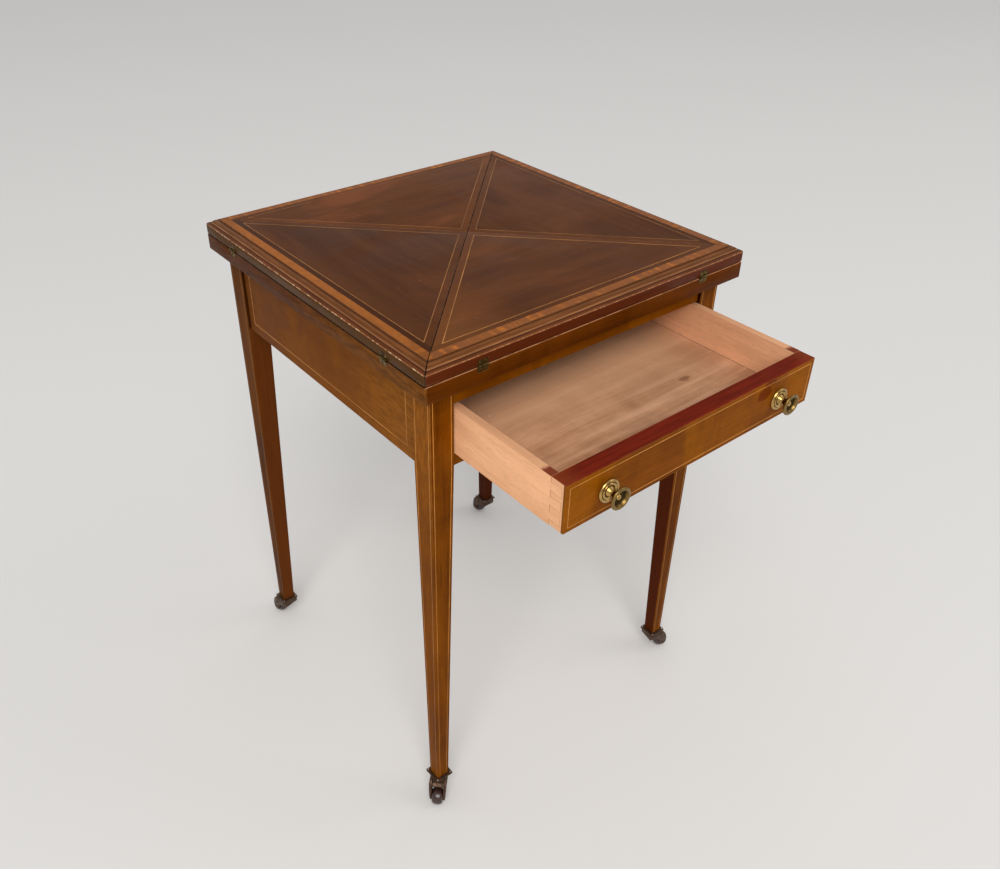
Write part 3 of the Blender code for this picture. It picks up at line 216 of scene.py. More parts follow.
class Tree:
    """Adds and joins the nodes of one shader tree."""

    def __init__(self, tree):
        self.tree = tree

    def feed(self, socket, value):
        if isinstance(value, bpy.types.NodeSocket):
            self.tree.links.new(value, socket)
        else:
            socket.default_value = value

    def add(self, kind, inputs=None, **settings):
        node = self.tree.nodes.new("ShaderNode" + kind)
        for key, value in settings.items():
            setattr(node, key, value)
        for key, value in (inputs or {}).items():
            self.feed(node.inputs[key], value)
        return node

    def calc(self, operation, *values, clamp=False):
        return self.add("Math", dict(enumerate(values)), operation=operation, use_clamp=clamp).outputs[0]

    def times(self, first, *others):
        """The product of masks and shares."""
        for other in others:
            first = self.calc("MULTIPLY", first, other)
        return first

    def blend(self, share, first, second):
        """Mixes two colours. The colour sockets of a Mix node stand at places 6 and 7."""
        return self.add("Mix", {0: share, 6: first, 7: second}, data_type="RGBA").outputs[2]

    def shades(self, share, tone, low, high):
        """From a darker to a lighter version of one tone."""
        return self.blend(share, scaled(tone, low), scaled(tone, high))

    def noise(self, vector, scale, detail=3.0, roughness=0.5, distortion=0.0):
        return self.add("TexNoise", {"Vector": vector, "Scale": scale, "Detail": detail, "Roughness": roughness,
                                     "Distortion": distortion}).outputs[0]

    def drawn(self, vector, stretch, detail=3.0, roughness=0.5, distortion=0.0, **placing):
        """Noise of another scale along each axis, as along and across the grain."""
        return self.noise(self.mapped(vector, stretch, **placing), 1.0, detail, roughness, distortion)

    def ramp(self, value, low, high, start=0.0, end=1.0):
        """Start below low, end above high and a smooth step between."""
        return self.add("MapRange", {"Value": value, "From Min": low, "From Max": high, "To Min": start,
                                     "To Max": end}, interpolation_type="SMOOTHSTEP").outputs[0]

    def stops(self, value, stops):
        """A colour ramp through (place, colour) stops."""
        node = self.add("ValToRGB", {"Fac": value})
        ramp = node.color_ramp.elements
        while len(ramp) < len(stops):
            ramp.new(1.0)
        for element, (place, colour) in zip(ramp, stops):
            element.position = place
            element.color = colour
        return node.outputs["Color"]

    def within(self, value, low, high, soft):
        """1 between low and high, 0 outside, with soft shoulders."""
        return self.times(self.ramp(value, low - soft, low + soft), self.ramp(value, high + soft, high - soft))

    def mapped(self, vector, scale=(1, 1, 1), turn=(0, 0, 0), shift=(0, 0, 0)):
        return self.add("Mapping", {"Vector": vector, "Scale": scale, "Rotation": turn, "Location": shift}).outputs[0]

    def parts(self, vector):
        return self.add("SeparateXYZ", {"Vector": vector}).outputs

    def group(self, group, **inputs):
        return self.add("Group", inputs, node_tree=group).outputs


def new_group(name, outputs, **numbers):
    """A shader node group that reads a Vector and named numbers. Its outputs are numbers, but for a Normal."""
    group = bpy.data.node_groups.new(name, "ShaderNodeTree")
    rows = [(label, "INPUT", default) for label, default in {"Vector": None, **numbers}.items()]
    for label, in_out, default in rows + [(label, "OUTPUT", None) for label in outputs]:
        kind = "NodeSocketVector" if label in ("Vector", "Normal") else "NodeSocketFloat"
        socket = group.interface.new_socket(label, in_out=in_out, socket_type=kind)
        if default is not None:
            socket.default_value = default
    return group, Tree(group), group.nodes.new("NodeGroupInput").outputs, group.nodes.new("NodeGroupOutput").inputs


def grain_group():
    """Grain along X: long streaks, short dark pores and a cloudy figure across the board."""
    group, tree, given, out = new_group("wood_grain", ("Streaks", "Pores", "Figure"), Streak=1.0)
    vector = given["Vector"]
    sway = tree.noise(vector, 5.0, 2.0)
    drift = tree.add("CombineXYZ", {"Y": tree.times(sway, 0.020), "Z": tree.times(sway, 0.014)}).outputs[0]
    swayed = tree.add("VectorMath", {0: vector, 1: drift}, operation="ADD").outputs[0]
    broad = tree.drawn(swayed, (4.5, 30.0, 30.0), 4.0, 0.55)
    fine = tree.drawn(swayed, (7.0, 240.0, 240.0), 4.0, 0.6)
    both = tree.calc("ADD", tree.times(broad, 0.62), tree.times(fine, 0.38))
    tree.feed(out["Streaks"], tree.times(tree.ramp(both, 0.30, 0.70), given["Streak"]))
    tree.feed(out["Pores"], tree.ramp(tree.drawn(vector, (95.0, 1900.0, 1900.0), 2.0), 0.58, 0.72))
    cloud = tree.drawn(vector, (16.0, 7.0, 7.0), 3.0, 0.55, 0.8, turn=(0, 0, 0.5))
    tree.feed(out["Figure"], tree.ramp(cloud, 0.36, 0.66))
    return group


def arris_group():
    """Rounds the edges in the normals, and masks the places that hands and cloths have rubbed."""
    group, tree, given, out = new_group("worn_arris", ("Normal", "Wear"), Radius=0.0006)
    rounded = tree.add("Bevel", {"Radius": given["Radius"]}, samples=6).outputs[0]
    flat = tree.add("NewGeometry").outputs["True Normal"]
    likeness = tree.add("VectorMath", {0: rounded, 1: flat}, operation="DOT_PRODUCT").outputs["Value"]
    broken = tree.ramp(tree.noise(given["Vector"], 55.0, 4.0, 0.65), 0.42, 0.62)
    tree.feed(out["Normal"], rounded)
    tree.feed(out["Wear"], tree.times(tree.ramp(likeness, 0.985, 0.86),
                                      tree.calc("MULTIPLY_ADD", broken, 0.75, 0.25)))
    return group


def handling_group():
    """Soft clouds of dirt and rubbing, and fine scattered marks."""
    group, tree, given, out = new_group("handling", ("Clouds", "Marks", "Scuffs"))
    vector = given["Vector"]
    tree.feed(out["Clouds"], tree.ramp(tree.noise(vector, 7.0, 4.0, 0.6, 0.4), 0.34, 0.68))
    dots = tree.add("TexVoronoi", {"Vector": vector, "Scale": 60.0, "Randomness": 1.0}).outputs["Distance"]
    patch = tree.ramp(tree.noise(vector, 26.0, 2.0), 0.58, 0.70)
    tree.feed(out["Marks"], tree.times(tree.ramp(dots, 0.16, 0.07), patch))
    scratches = tree.drawn(vector, (30.0, 700.0, 60.0), 2.0, turn=(0, 0, 0.9))
    tree.feed(out["Scuffs"], tree.ramp(scratches, 0.60, 0.74))
    return group


def leaf_zone_group():
    """Distances from a leaf's outer edge and from its nearer seam, and how far up the leaf a point is."""
    group, tree, given, out = new_group("leaf_zones", ("Edge", "Seam", "Height"))
    x, y, z = tree.parts(given["Vector"])
    tree.feed(out["Edge"], tree.calc("ADD", y, REACH))
    tree.feed(out["Height"], z)
    across = tree.calc("SUBTRACT", tree.times(y, -1.0), tree.calc("ABSOLUTE", x))
    tree.feed(out["Seam"], tree.times(across, math.sqrt(0.5)))
    return group


GRAIN = grain_group()
ARRIS = arris_group()
HANDLING = handling_group()
LEAF_ZONES = leaf_zone_group()


# Materials

# Old shellac warms what it reflects
SHELLAC = (1.0, 0.60, 0.30, 1.0)

# How a board whose grain runs along an axis is turned, and how mottling is drawn out along that axis
ALONG = {"X": (0, 0, 0), "Y": (0, 0, -math.pi / 2), "Z": (0, math.pi / 2, 0)}
MOTTLING = {"Y": (240.0, 50.0, 240.0), "Z": (240.0, 240.0, 50.0)}

# Tones of the moulded edge from the outer arris inwards, as shares of its width: bead, quirk, ovolo, fillet. The dark
# stop at 0.32 is a painted shadow line beside the bead, and the light stop at 0.38 a painted highlight on the fillet
MOULDING_TONES_AND_PAINTED_LIGHT = [(share, srgb(*tone)) for share, *tone in (
    (0.0, 146, 92, 54), (0.04, 112, 62, 32), (0.26, 92, 46, 24), (0.32, 52, 26, 14), (0.38, 168, 112, 70),
    (0.46, 108, 62, 32), (0.70, 130, 80, 42), (0.86, 104, 58, 28), (0.93, 58, 30, 16), (1.0, 140, 82, 40))]

FRAME_WORN = srgb(206, 146, 92)


class Surface(Tree):
    """One material: its shader tree, the place on the piece, and the colour laid on so far."""

    def __init__(self, name, roughness, metallic=0.0, **sockets):
        self.material = bpy.data.materials.new(name)
        self.material.use_nodes = True
        super().__init__(self.material.node_tree)
        self.shader = self.tree.nodes["Principled BSDF"].inputs
        for label, value in {"Roughness": roughness, "Metallic": metallic, **sockets}.items():
            self.shader[label.replace("_", " ")].default_value = value

    @functools.cached_property
    def place(self):
        return self.add("TexCoord").outputs["Object"]

    def lay(self, tone, *masks):
        """Lays a tone over the colour so far, as strongly as the masks and shares say."""
        self.colour = self.blend(self.times(*masks), self.colour, tone)

    def bumped(self, height, distance, strength, normal=None):
        """The normal of the plain surface, or another, raised by a height."""
        if normal is None:
            normal = self.add("NewGeometry").outputs["Normal"]
        return self.add("Bump", {"Height": height, "Normal": normal, "Distance": distance,
                                 "Strength": strength}).outputs[0]

    def finished(self, **values):
        """The material, its colour and other changing values joined to the shader."""
        for label, value in {"Base Color": self.colour, **values}.items():
            self.feed(self.shader[label], value)
        return self.material


class Wood(Surface):
    """A wood with its grain, pores and figure, under clouds of dirt."""

    def __init__(self, name, dark, light, along, shift, roughness=0.42, polish=0.01, figure=0.35, warm=None,
                 gloss=0.02):
        super().__init__(name, roughness, Coat_Weight=polish, Coat_Roughness=0.18, Specular_IOR_Level=gloss,
                         Specular_Tint=SHELLAC)
        self.roughness = roughness
        self.grain = self.group(GRAIN, Vector=self.mapped(self.place, turn=ALONG.get(along, along), shift=shift))
        self.handled = self.group(HANDLING, Vector=self.place)
        self.colour = self.blend(self.grain["Streaks"], dark, light)
        self.lay(warm or scaled(light, 1.35), self.grain["Figure"], figure)
        self.lay(scaled(dark, 0.7), self.handled["Clouds"], 0.15)
        self.lay(scaled(dark, 0.45), self.grain["Pores"], 0.45)

    def mottled(self, along, tone):
        """Old polish over one tone, in small lighter and darker spots drawn out along the grain."""
        return self.shades(self.ramp(self.drawn(self.place, MOTTLING[along], 4.0, 0.7), 0.32, 0.68), tone, 0.66, 1.36)

    def mark(self, stretch, middle, grit, fraying, outside, inside):
        """A round mark shrunk by a stretch about its middle, its rim frayed by noise."""
        shift = [-rate * place for rate, place in zip(stretch, middle)]
        far = self.add("VectorMath", {0: self.mapped(self.place, stretch, shift=shift)}, operation="LENGTH")
        frayed = self.calc("ADD", far.outputs["Value"], self.times(self.noise(self.place, grit, 3.0), fraying))
        return self.ramp(frayed, outside, inside)

    def polished(self, worn=None):
        """The finished material, with a tone for its rubbed edges."""
        edge = self.group(ARRIS, Vector=self.place, Radius=sizes().arris_radius)
        if worn is not None:
            self.lay(worn, edge["Wear"], 0.6)
        dull = self.calc("MULTIPLY_ADD", self.grain["Figure"], 0.10, self.roughness - 0.05)
        height = self.calc("SUBTRACT", self.times(self.grain["Streaks"], 0.35), self.grain["Pores"])
        return self.finished(Roughness=self.calc("MULTIPLY_ADD", self.handled["Scuffs"], 0.08, dull),
                             Normal=self.bumped(height, 0.00006, 0.5, edge["Normal"]))


def leaf_origin(side):
    """The shift that brings the table's centre to the origin, once a leaf is turned to the front."""
    return Matrix.Rotation(-SIDES[side], 3, "Z") @ -CENTRE


def leaf_place(surface, side):
    """A leaf's own coordinates: those of the front leaf about the table's centre."""
    return surface.mapped(surface.place, turn=(0, 0, -SIDES[side]), shift=leaf_origin(side))


def leaf_wood(side, tint, red, edge_tone, chip_tone, border_share, dirty_side):
    """Mahogany of one leaf: its field, the dark border outside the string, and the moulded edge."""
    turn = SIDES[side]
    dark, light = scaled(colours().top_dark, tint), scaled(colours().top_light, tint)
    wood = Wood(f"mahogany_leaf_{side}", dark, light, (0, 0, -turn), leaf_origin(side) + Vector((turn, turn, 0)),
                roughness=0.44, polish=0.02, figure=0.18, warm=scaled(light, 1.25), gloss=0.07)
    local = leaf_place(wood, side)
    x = wood.parts(local)[0]
    edge, seam, height = wood.group(LEAF_ZONES, Vector=local)

    # The field, its patches of red and its specks, and the crossbanded border along the seams
    patches = wood.drawn(local, (4.0, 9.0, 9.0), 3.0, 0.6, 0.6, shift=(turn, 3.1, 0))
    wood.lay(srgb(122, 66, 34), wood.ramp(patches, 0.50, 0.68), red)
    if side == "front":
        wood.lay(srgb(122, 74, 34), wood.ramp(x, -0.07, -0.20, 0.0, 0.5))
    wood.lay(srgb(164, 122, 98), wood.group(HANDLING, Vector=local)["Marks"], 0.35)
    cross = wood.drawn(local, (60.0, 60.0, 60.0), 4.0, 0.7)
    wood.lay(wood.blend(cross, srgb(82, 42, 18), srgb(122, 68, 28)),
             wood.ramp(seam, SEAM_BORDER + 0.0002, SEAM_BORDER - 0.0002),
             wood.ramp(edge, BORDER_END - 0.006, BORDER_END + 0.010), 0.50 - 0.5 * border_share)
    wood.lay(scaled(dark, 0.6), wood.ramp(edge, BORDER_START - 0.0004, BORDER_START),
             wood.ramp(edge, BORDER_END + 0.0003, BORDER_END - 0.0003), border_share)

    # The moulding, the upright edge under it and the arris between them, chipped along its length
    # The moulding's tones include a painted shadow line and a painted highlight
    members = wood.stops(wood.calc("DIVIDE", edge, MOULDING_WIDTH), MOULDING_TONES_AND_PAINTED_LIGHT)
    rubbing = wood.drawn(local, (18.0, 260.0, 260.0), 4.0, 0.6)
    members = wood.blend(wood.ramp(rubbing, 0.40, 0.66), wood.blend(0.66, (0, 0, 0, 1), members), members)
    wood.lay(members, wood.ramp(edge, MOULDING_WIDTH + 0.0003, MOULDING_WIDTH - 0.0003))
    streaks = wood.drawn(local, (9.0, 300.0, 300.0), 4.0, 0.6)
    wood.lay(wood.shades(streaks, edge_tone, 0.6, 1.5), wood.ramp(edge, 0.0010, 0.0006),
             wood.ramp(height, ARRIS_HEIGHT - 0.0002, ARRIS_HEIGHT - 0.0006))
    arris = wood.times(wood.ramp(edge, 0.0012, 0.0009),
                       wood.within(height, ARRIS_HEIGHT - 0.0004, ARRIS_HEIGHT + 0.0006, 0.0002))
    chips = wood.noise(local, 190.0, 4.0, 0.75)
    wood.lay(wood.blend(wood.ramp(chips, 0.48, 0.60), srgb(138, 86, 56), chip_tone),
             wood.times(arris, wood.ramp(chips, 0.30, 0.48, 0.35, 1.0)))

    # The open joints along the leaf's two seams, one dirtier than the other
    dirty = wood.ramp(wood.times(x, dirty_side), -0.001, 0.001, 0.2, 0.9)
    wood.lay(srgb(26, 15, 10), wood.times(wood.ramp(seam, 0.0010, 0.0005), dirty))
    return wood.polished(srgb(196, 150, 110))


def inlay_surface(name, roughness, coat):
    """The plain start of a let-in wood."""
    return Surface(name, roughness, Coat_Weight=coat, Coat_Roughness=0.2, Specular_IOR_Level=0.10,
                   Specular_Tint=SHELLAC)


def crossbanding(side, dull):
    """Satinwood with its grain across the band, pieced from short lengths of differing tone."""
    turn = SIDES[side]
    band = inlay_surface(f"satinwood_{side}", 0.40, 0.04)
    local = leaf_place(band, side)
    grain = band.group(GRAIN, Vector=band.mapped(local, turn=(0, 0, math.pi / 2), shift=(turn, 1.7, 0)))
    x = band.parts(local)[0]
    pieces, spread = (
        band.add("TexNoise", {"W": band.calc("MULTIPLY_ADD", x, rate, start + turn), "Scale": 1.0,
                              "Detail": detail}, noise_dimensions="1D").outputs[0]
        for rate, start, detail in ((90.0, 9.0, 2.0), (11.0, 3.0, 1.0)))
    clouds = band.drawn(local, (40.0, 150.0, 1.0), 4.0, 0.7, 1.2, shift=(turn, 0, 0))
    light = scaled(colours().satinwood, 0.80 + 0.25 * dull)
    dark = band.blend(dull, scaled(light, 0.50), srgb(112, 66, 38))
    patch = band.times(band.ramp(pieces, 0.44, 0.62), band.ramp(clouds, 0.36, 0.60, 0.1, 1.0),
                       band.ramp(spread, 0.34, 0.54, 0.3, 1.0))
    evenness = band.times(band.ramp(band.calc("ABSOLUTE", x), REACH * 0.97, REACH * 0.70, 0.0, 1.0 - dull),
                          band.ramp(clouds, 0.32, 0.56, 0.30, 1.0))
    band.colour = band.blend(band.calc("MAXIMUM", patch, evenness), dark, light)
    band.lay(scaled(light, 0.55), grain["Streaks"], 0.45)
    band.lay(scaled(light, 0.25), grain["Pores"], 0.3)
    return band.finished(Normal=band.bumped(grain["Streaks"], 0.00004, 0.4))


def boxwood_surface(name, light, dull_below=0.0):
    """Stringing: pale where it is clean, brown where polish and dirt have gathered, as low on the legs."""
    string = inlay_surface(name, 0.42, 0.03)
    clouds = string.noise(string.place, 16.0, 4.0, 0.6)
    specks = string.noise(string.place, 260.0, 3.0, 0.6)
    string.colour = string.blend(string.ramp(clouds, 0.38, 0.62), scaled(light, 0.60), light)
    string.lay(scaled(light, 0.45), string.ramp(specks, 0.55, 0.75))
    if dull_below:
        height = string.parts(string.place)[2]
        string.lay(srgb(104, 56, 18), string.ramp(height, dull_below, dull_below * 0.3, 0.0, 0.55))
    return string.finished(Roughness=string.calc("MULTIPLY_ADD", specks, 0.15, 0.30))


def metal_surface(name, high, low, roughness, dirt, spread, bare=1.0, special=None):
    """Old metal: clean on its high edges, brown in its hollows, with fine pits. Special adds to the grime."""
    metal = Surface(name, roughness, bare)
    edge = metal.group(ARRIS, Vector=metal.place, Radius=0.0004)
    hollow = metal.add("AmbientOcclusion", {"Distance": 0.0025}, samples=8).outputs["AO"]
    clouds = metal.ramp(metal.noise(metal.place, spread, 4.0, 0.6), 0.35, 0.65)
    depth = metal.calc("SUBTRACT", 1.0, metal.ramp(hollow, 0.20, 0.70))
    grime = metal.calc("MAXIMUM", depth, metal.times(clouds, dirt), clamp=True)
    if special is not None:
        grime = special(metal, grime)
    metal.colour = metal.blend(grime, high, low)
    metal.lay(scaled(high, 1.15), edge["Wear"], 0.5)
    pits = metal.noise(metal.place, 900.0, 3.0, 0.6)
    return metal.finished(Roughness=metal.calc("MULTIPLY_ADD", grime, 0.30, roughness),
                          Normal=metal.bumped(pits, 0.00003, 0.35, edge["Normal"]))


# Meshes

def side_placing(side):
    """From a front leaf's coordinates, about the table's centre, to those of the leaf on this side."""
    return Matrix.Translation(CENTRE) @ Matrix.Rotation(SIDES[side], 4, "Z")


def only(items, kind):
    """The items of one kind, out of what a bmesh operator gives back."""
    return [item for item in items if isinstance(item, kind)]


def thin_face(bm, corners):
    """A flat face between corners given in order."""
    made = [bm.verts.new(corner) for corner in corners]
    return bmesh.ops.contextual_create(bm, geom=made)["faces"]


def sunk(bm, faces, into):
    """Gives flat faces their depth along a vector, as a closed shape with its faces outwards."""
    rims = {edge for face in faces for edge in face.edges}
    deep = bmesh.ops.extrude_face_region(bm, geom=list(faces) + list(rims), use_keep_orig=True)["geom"]
    bmesh.ops.translate(bm, vec=into, verts=only(deep, bmesh.types.BMVert))
    bmesh.ops.recalc_face_normals(bm, faces=bm.faces[:])


def string_ring(bm, corners, width, into):
    """A mitred line of stringing round a face, its outer edge on the corners."""
    faces = thin_face(bm, corners)
    bmesh.ops.inset_region(bm, faces=faces, thickness=width, use_even_offset=True, use_boundary=True)
    bmesh.ops.delete(bm, geom=faces, context="FACES")
    sunk(bm, bm.faces[:], into)


def string_line(bm, points, across, into):
    """A line of stringing through points, drawn out by a vector as wide as the line."""
    start = [bm.verts.new(Vector(point) - Vector(across) / 2) for point in points]
    edges = [bm.edges.new(pair) for pair in zip(start, start[1:])]
    drawn = bmesh.ops.extrude_edge_only(bm, edges=edges)["geom"]
    bmesh.ops.translate(bm, vec=across, verts=only(drawn, bmesh.types.BMVert))
    sunk(bm, only(drawn, bmesh.types.BMFace), into)


def string_panel(bm, left, right, low, high, face):
    """A rectangle of fine stringing let into a face that looks to the front."""
    string_ring(bm, [(left, face, low), (right, face, low), (right, face, high), (left, face, high)],
                sizes().fine_string_width, (0, INLAY_DEPTH, 0))


def finished_mesh(bm, name):
    mesh = bpy.data.meshes.new(name)
    bm.to_mesh(mesh)
    bm.free()
    return mesh


def in_scene(name, data):
    """A new object in the scene, holding a mesh, a lamp or a camera."""
    thing = bpy.data.objects.new(name, data)
    bpy.context.scene.collection.objects.link(thing)
    return thing


def add_piece(bm, name, material, body, slot, *stands_for, placing=None, smooth=None):
    """Makes a bmesh a finished piece that rides on a body."""
    if placing is not None:
        bmesh.ops.transform(bm, matrix=placing, verts=bm.verts)
    mesh = finished_mesh(bm, name)
    if smooth is not None:
        mesh.shade_smooth()
        mesh.set_sharp_from_angle(angle=smooth)
    mesh.materials.append(material)
    piece = in_scene(name, mesh)
    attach(piece, body)
    if stands_for:
        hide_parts(*stands_for)
    return piece


def softened(node, radius):
    """A merged copy of a CAD node, its sharp edges rounded."""
    bm = bmesh.new()
    bm.from_mesh(frame["nodes"][node].data)
    bmesh.ops.remove_doubles(bm, verts=bm.verts, dist=WELD)
    bmesh.ops.dissolve_limit(bm, angle_limit=FLAT_ANGLE, verts=bm.verts, edges=bm.edges)
    sharp = [edge for edge in bm.edges if edge.is_manifold and edge.calc_face_angle() > SHARP_ANGLE]
    bmesh.ops.bevel(bm, geom=sharp, offset=radius, offset_type="OFFSET", segments=2, profile=0.5,
                    affect="EDGES", clamp_overlap=True, material=-1)
    return bm


def paint(material, *nodes):
    """Gives CAD nodes a material."""
    for node in nodes:
        mesh = frame["nodes"][node].data
        mesh.materials.clear()
        mesh.materials.append(material)


def turned(profile, steps, axis_place, axis):
    """A turning from (radius, height) points, its height along an axis from a place."""
    bm = bmesh.new()
    made = [bm.verts.new((radius, 0, height)) for radius, height in profile]
    edges = [bm.edges.new(pair) for pair in zip(made, made[1:])]
    bmesh.ops.spin(bm, geom=made + edges, cent=(0, 0, 0), axis=(0, 0, 1), dvec=(0, 0, 0), angle=2 * math.pi,
                   steps=steps, use_merge=True)
    bmesh.ops.remove_doubles(bm, verts=bm.verts, dist=WELD)
    bmesh.ops.recalc_face_normals(bm, faces=bm.faces)
    turn = Vector((0, 0, 1)).rotation_difference(Vector(axis)).to_matrix().to_4x4()
    bmesh.ops.transform(bm, matrix=Matrix.Translation(axis_place) @ turn, verts=bm.verts)
    return bm


def eased(points, steps=3):
    """A smooth curve through points."""
    ends = [points[0], *points, points[-1]]
    made = []
    for near in zip(ends, ends[1:], ends[2:], ends[3:]):
        for t in (step / steps for step in range(steps)):
            made.append(tuple(0.5 * (2 * q + (r - p) * t + (2 * p - 5 * q + 4 * r - s) * t * t
                                     + (3 * q - p - 3 * r + s) * t ** 3) for p, q, r, s in zip(*near)))
    return made + [points[-1]]


# Operators

class CARDTABLE_OT_stage(bpy.types.Operator):
    """Set up the floor, the soft studio light and the camera"""
    bl_idname = "card_table.stage"
    bl_label = "Stage"

    def execute(self, context):
        self.floor()
        self.world()
        for lamp in LAMPS:
            self.lamp(*lamp)
        self.camera()
        return {"FINISHED"}

    def floor(self):
        bm = bmesh.new()
        bmesh.ops.create_circle(bm, cap_ends=True, segments=96, radius=FLOOR_RADIUS)
        floor = in_scene("studio_floor", finished_mesh(bm, "studio_floor"))
        paper = Surface("studio_floor", 1.0, Specular_IOR_Level=0.0, Base_Color=srgb(226, 223, 218))
        floor.data.materials.append(paper.material)

    def world(self):
        """A pale wall for the camera and for reflections, and a cooler, weaker light for everything else."""
        world = bpy.data.worlds.new("studio")
        world.use_nodes = True
        bpy.context.scene.world = world
        tree = Tree(world.node_tree)
        background = world.node_tree.nodes["Background"]
        rays = tree.add("LightPath").outputs
        seen = tree.calc("MAXIMUM", rays["Is Camera Ray"],
                         tree.calc("MAXIMUM", rays["Is Glossy Ray"], rays["Is Transmission Ray"]))
        tree.feed(background.inputs["Color"], tree.blend(seen, srgb(236, 238, 242), srgb(214, 211, 206)))
        tree.feed(background.inputs["Strength"], tree.calc("MULTIPLY_ADD", seen, 0.15, 0.70))

    def lamp(self, name, at, size, power):
        light = bpy.data.lights.new(name, "AREA")
        light.shape = "SQUARE"
        light.size = size
        light.energy = power
        lamp = in_scene(name, light)
        lamp.location = at
        lamp.rotation_euler = (LAMP_AIM - Vector(at)).to_track_quat("-Z", "Y").to_euler()

    def camera(self):
        """The photograph's viewpoint: from the front left and above, looking down at the top."""
        yaw, pitch, roll = (math.radians(angle) for angle in CAMERA_ANGLES)
        forward = Vector((math.sin(yaw) * math.cos(pitch), math.cos(yaw) * math.cos(pitch), math.sin(pitch)))
        level = Vector((math.cos(yaw), -math.sin(yaw), 0))
        up = level.cross(forward)
        right = math.cos(roll) * level + math.sin(roll) * up
        upward = -math.sin(roll) * level + math.cos(roll) * up
        data = bpy.data.cameras.new("camera")
        data.lens, data.sensor_width = LENS_MM, SENSOR_MM
        data.shift_x, data.shift_y = LENS_SHIFT
        data.clip_start, data.clip_end = NEAREST, FARTHEST
        camera = in_scene("camera", data)
        camera.matrix_world = Matrix.Translation((CAMERA_X, CAMERA_Y + CENTRE.y, CAMERA_HEIGHT)) \
            @ Matrix((right, upward, -forward)).transposed().to_4x4()
        bpy.context.scene.camera = camera
        bpy.context.scene.view_settings.view_transform = "Standard"


class CARDTABLE_OT_leaves(bpy.types.Operator):
    """Veneer the four leaves, with their crossbanding and stringing"""
    bl_idname = "card_table.leaves"
    bl_label = "Leaves"

    def execute(self, context):
        # Tint of the wood, partly the leaf's own tone and partly painted sheen, share of red, dullness of the
        # crossbanding, tones of the upright edge and of the chips on its arris, strength of the dark border, side of
        # the dirtier seam, and how clean the string is
        for side, tint, red, dull, edge_tone, chip_tone, border_share, dirty_side, clean in (
                ("front", 0.98, 0.45, 0.80, (84, 34, 11), (186, 130, 90), 0.15, -1, 1.0),
                ("right", 0.80, 0.25, 0.90, (96, 52, 20), (196, 138, 98), 0.25, 1, 0.66),
                ("back", 1.06, 0.75, 0.85, (96, 52, 20), (196, 138, 98), 0.15, -1, 0.60),
                ("left", 0.80, 0.30, 0.20, (76, 46, 14), (232, 200, 160), 0.60, 1, 0.72)):
            ground = softened(f"leaf_{side}", LEAF_EASING)
            upper = [vert for vert in ground.verts if vert.co.z > TOP_HEIGHT - WELD]
            bmesh.ops.translate(ground, vec=(0, 0, -sizes().inlay_proud), verts=upper)
            veneer = leaf_wood(side, tint, red, srgb(*edge_tone), srgb(*chip_tone), border_share, dirty_side)
            add_piece(ground, f"veneered_leaf_{side}", veneer, f"{side}_leaf", "top_mahogany", f"leaf_{side}",
                      smooth=SMOOTH_ANGLE)
            self.band(side, crossbanding(side, dull))
            self.string(side, boxwood_surface(f"boxwood_{side}", scaled(colours().boxwood, clean)))
        return {"FINISHED"}

    def band(self, side, material):
        near = REACH - sizes().band_start
        far = near - sizes().band_width
        bm = bmesh.new()
        thin_face(bm, [(end * (reach - SEAM_GAP), -reach, TOP_HEIGHT)
                       for end, reach in ((-1, near), (1, near), (1, far), (-1, far))])
        sunk(bm, bm.faces[:], (0, 0, -INLAY_DEPTH))
        add_piece(bm, f"crossbanding_{side}", material, f"{side}_leaf", "top_mahogany", placing=side_placing(side))

    def string(self, side, material):
        half = sizes().string_width / 2
        apex = (SEAM_BORDER - half) * math.sqrt(2)
        outer = REACH - BORDER_END + half
        bm = bmesh.new()
        string_ring(bm, [(-(outer - apex), -outer, TOP_HEIGHT), (outer - apex, -outer, TOP_HEIGHT),
                         (0, -apex, TOP_HEIGHT)], 2 * half, (0, 0, -INLAY_DEPTH))
        add_piece(bm, f"stringing_leaf_{side}", material, f"{side}_leaf", "top_mahogany", placing=side_placing(side))


class CARDTABLE_OT_bed(bpy.types.Operator):
    """Finish the bed board under the leaves"""
    bl_idname = "card_table.bed"
    bl_label = "Bed"

    def execute(self, context):
        light = mixed(colours().frame_light, srgb(116, 44, 14), 0.4)
        wood = Wood("mahogany_bed", scaled(colours().frame_dark, 0.58), scaled(light, 0.56), "X", (0.3, 0.7, 0.1))
        x, y, z = wood.parts(wood.place)
        left = wood.ramp(x, -REACH + 0.004, -REACH + 0.001)
        rim = wood.ramp(z, BED_HIGH.z - 0.0009, BED_HIGH.z - 0.0005)
        front = wood.ramp(y, BED_LOW.y + 0.0012, BED_LOW.y + 0.0008)
        patchy = wood.ramp(wood.noise(wood.place, 70.0, 3.0, 0.6), 0.36, 0.56, 0.4, 1.0)
        aged = wood.blend(wood.ramp(y, CENTRE.y - REACH, CENTRE.y + REACH * 0.5),
                          wood.mottled("Y", srgb(114, 70, 28)), wood.mottled("Y", srgb(80, 44, 22)))
        wood.lay(aged, left, 0.75)
        wood.lay(srgb(44, 28, 18), rim, left)
        wood.lay(srgb(172, 118, 80), rim, front, patchy)
        add_piece(softened("bed_board", BED_EASING), "polished_bed_board", wood.polished(srgb(190, 130, 80)), "top",
                  "top_mahogany", "bed_board", smooth=SMOOTH_ANGLE)
        return {"FINISHED"}


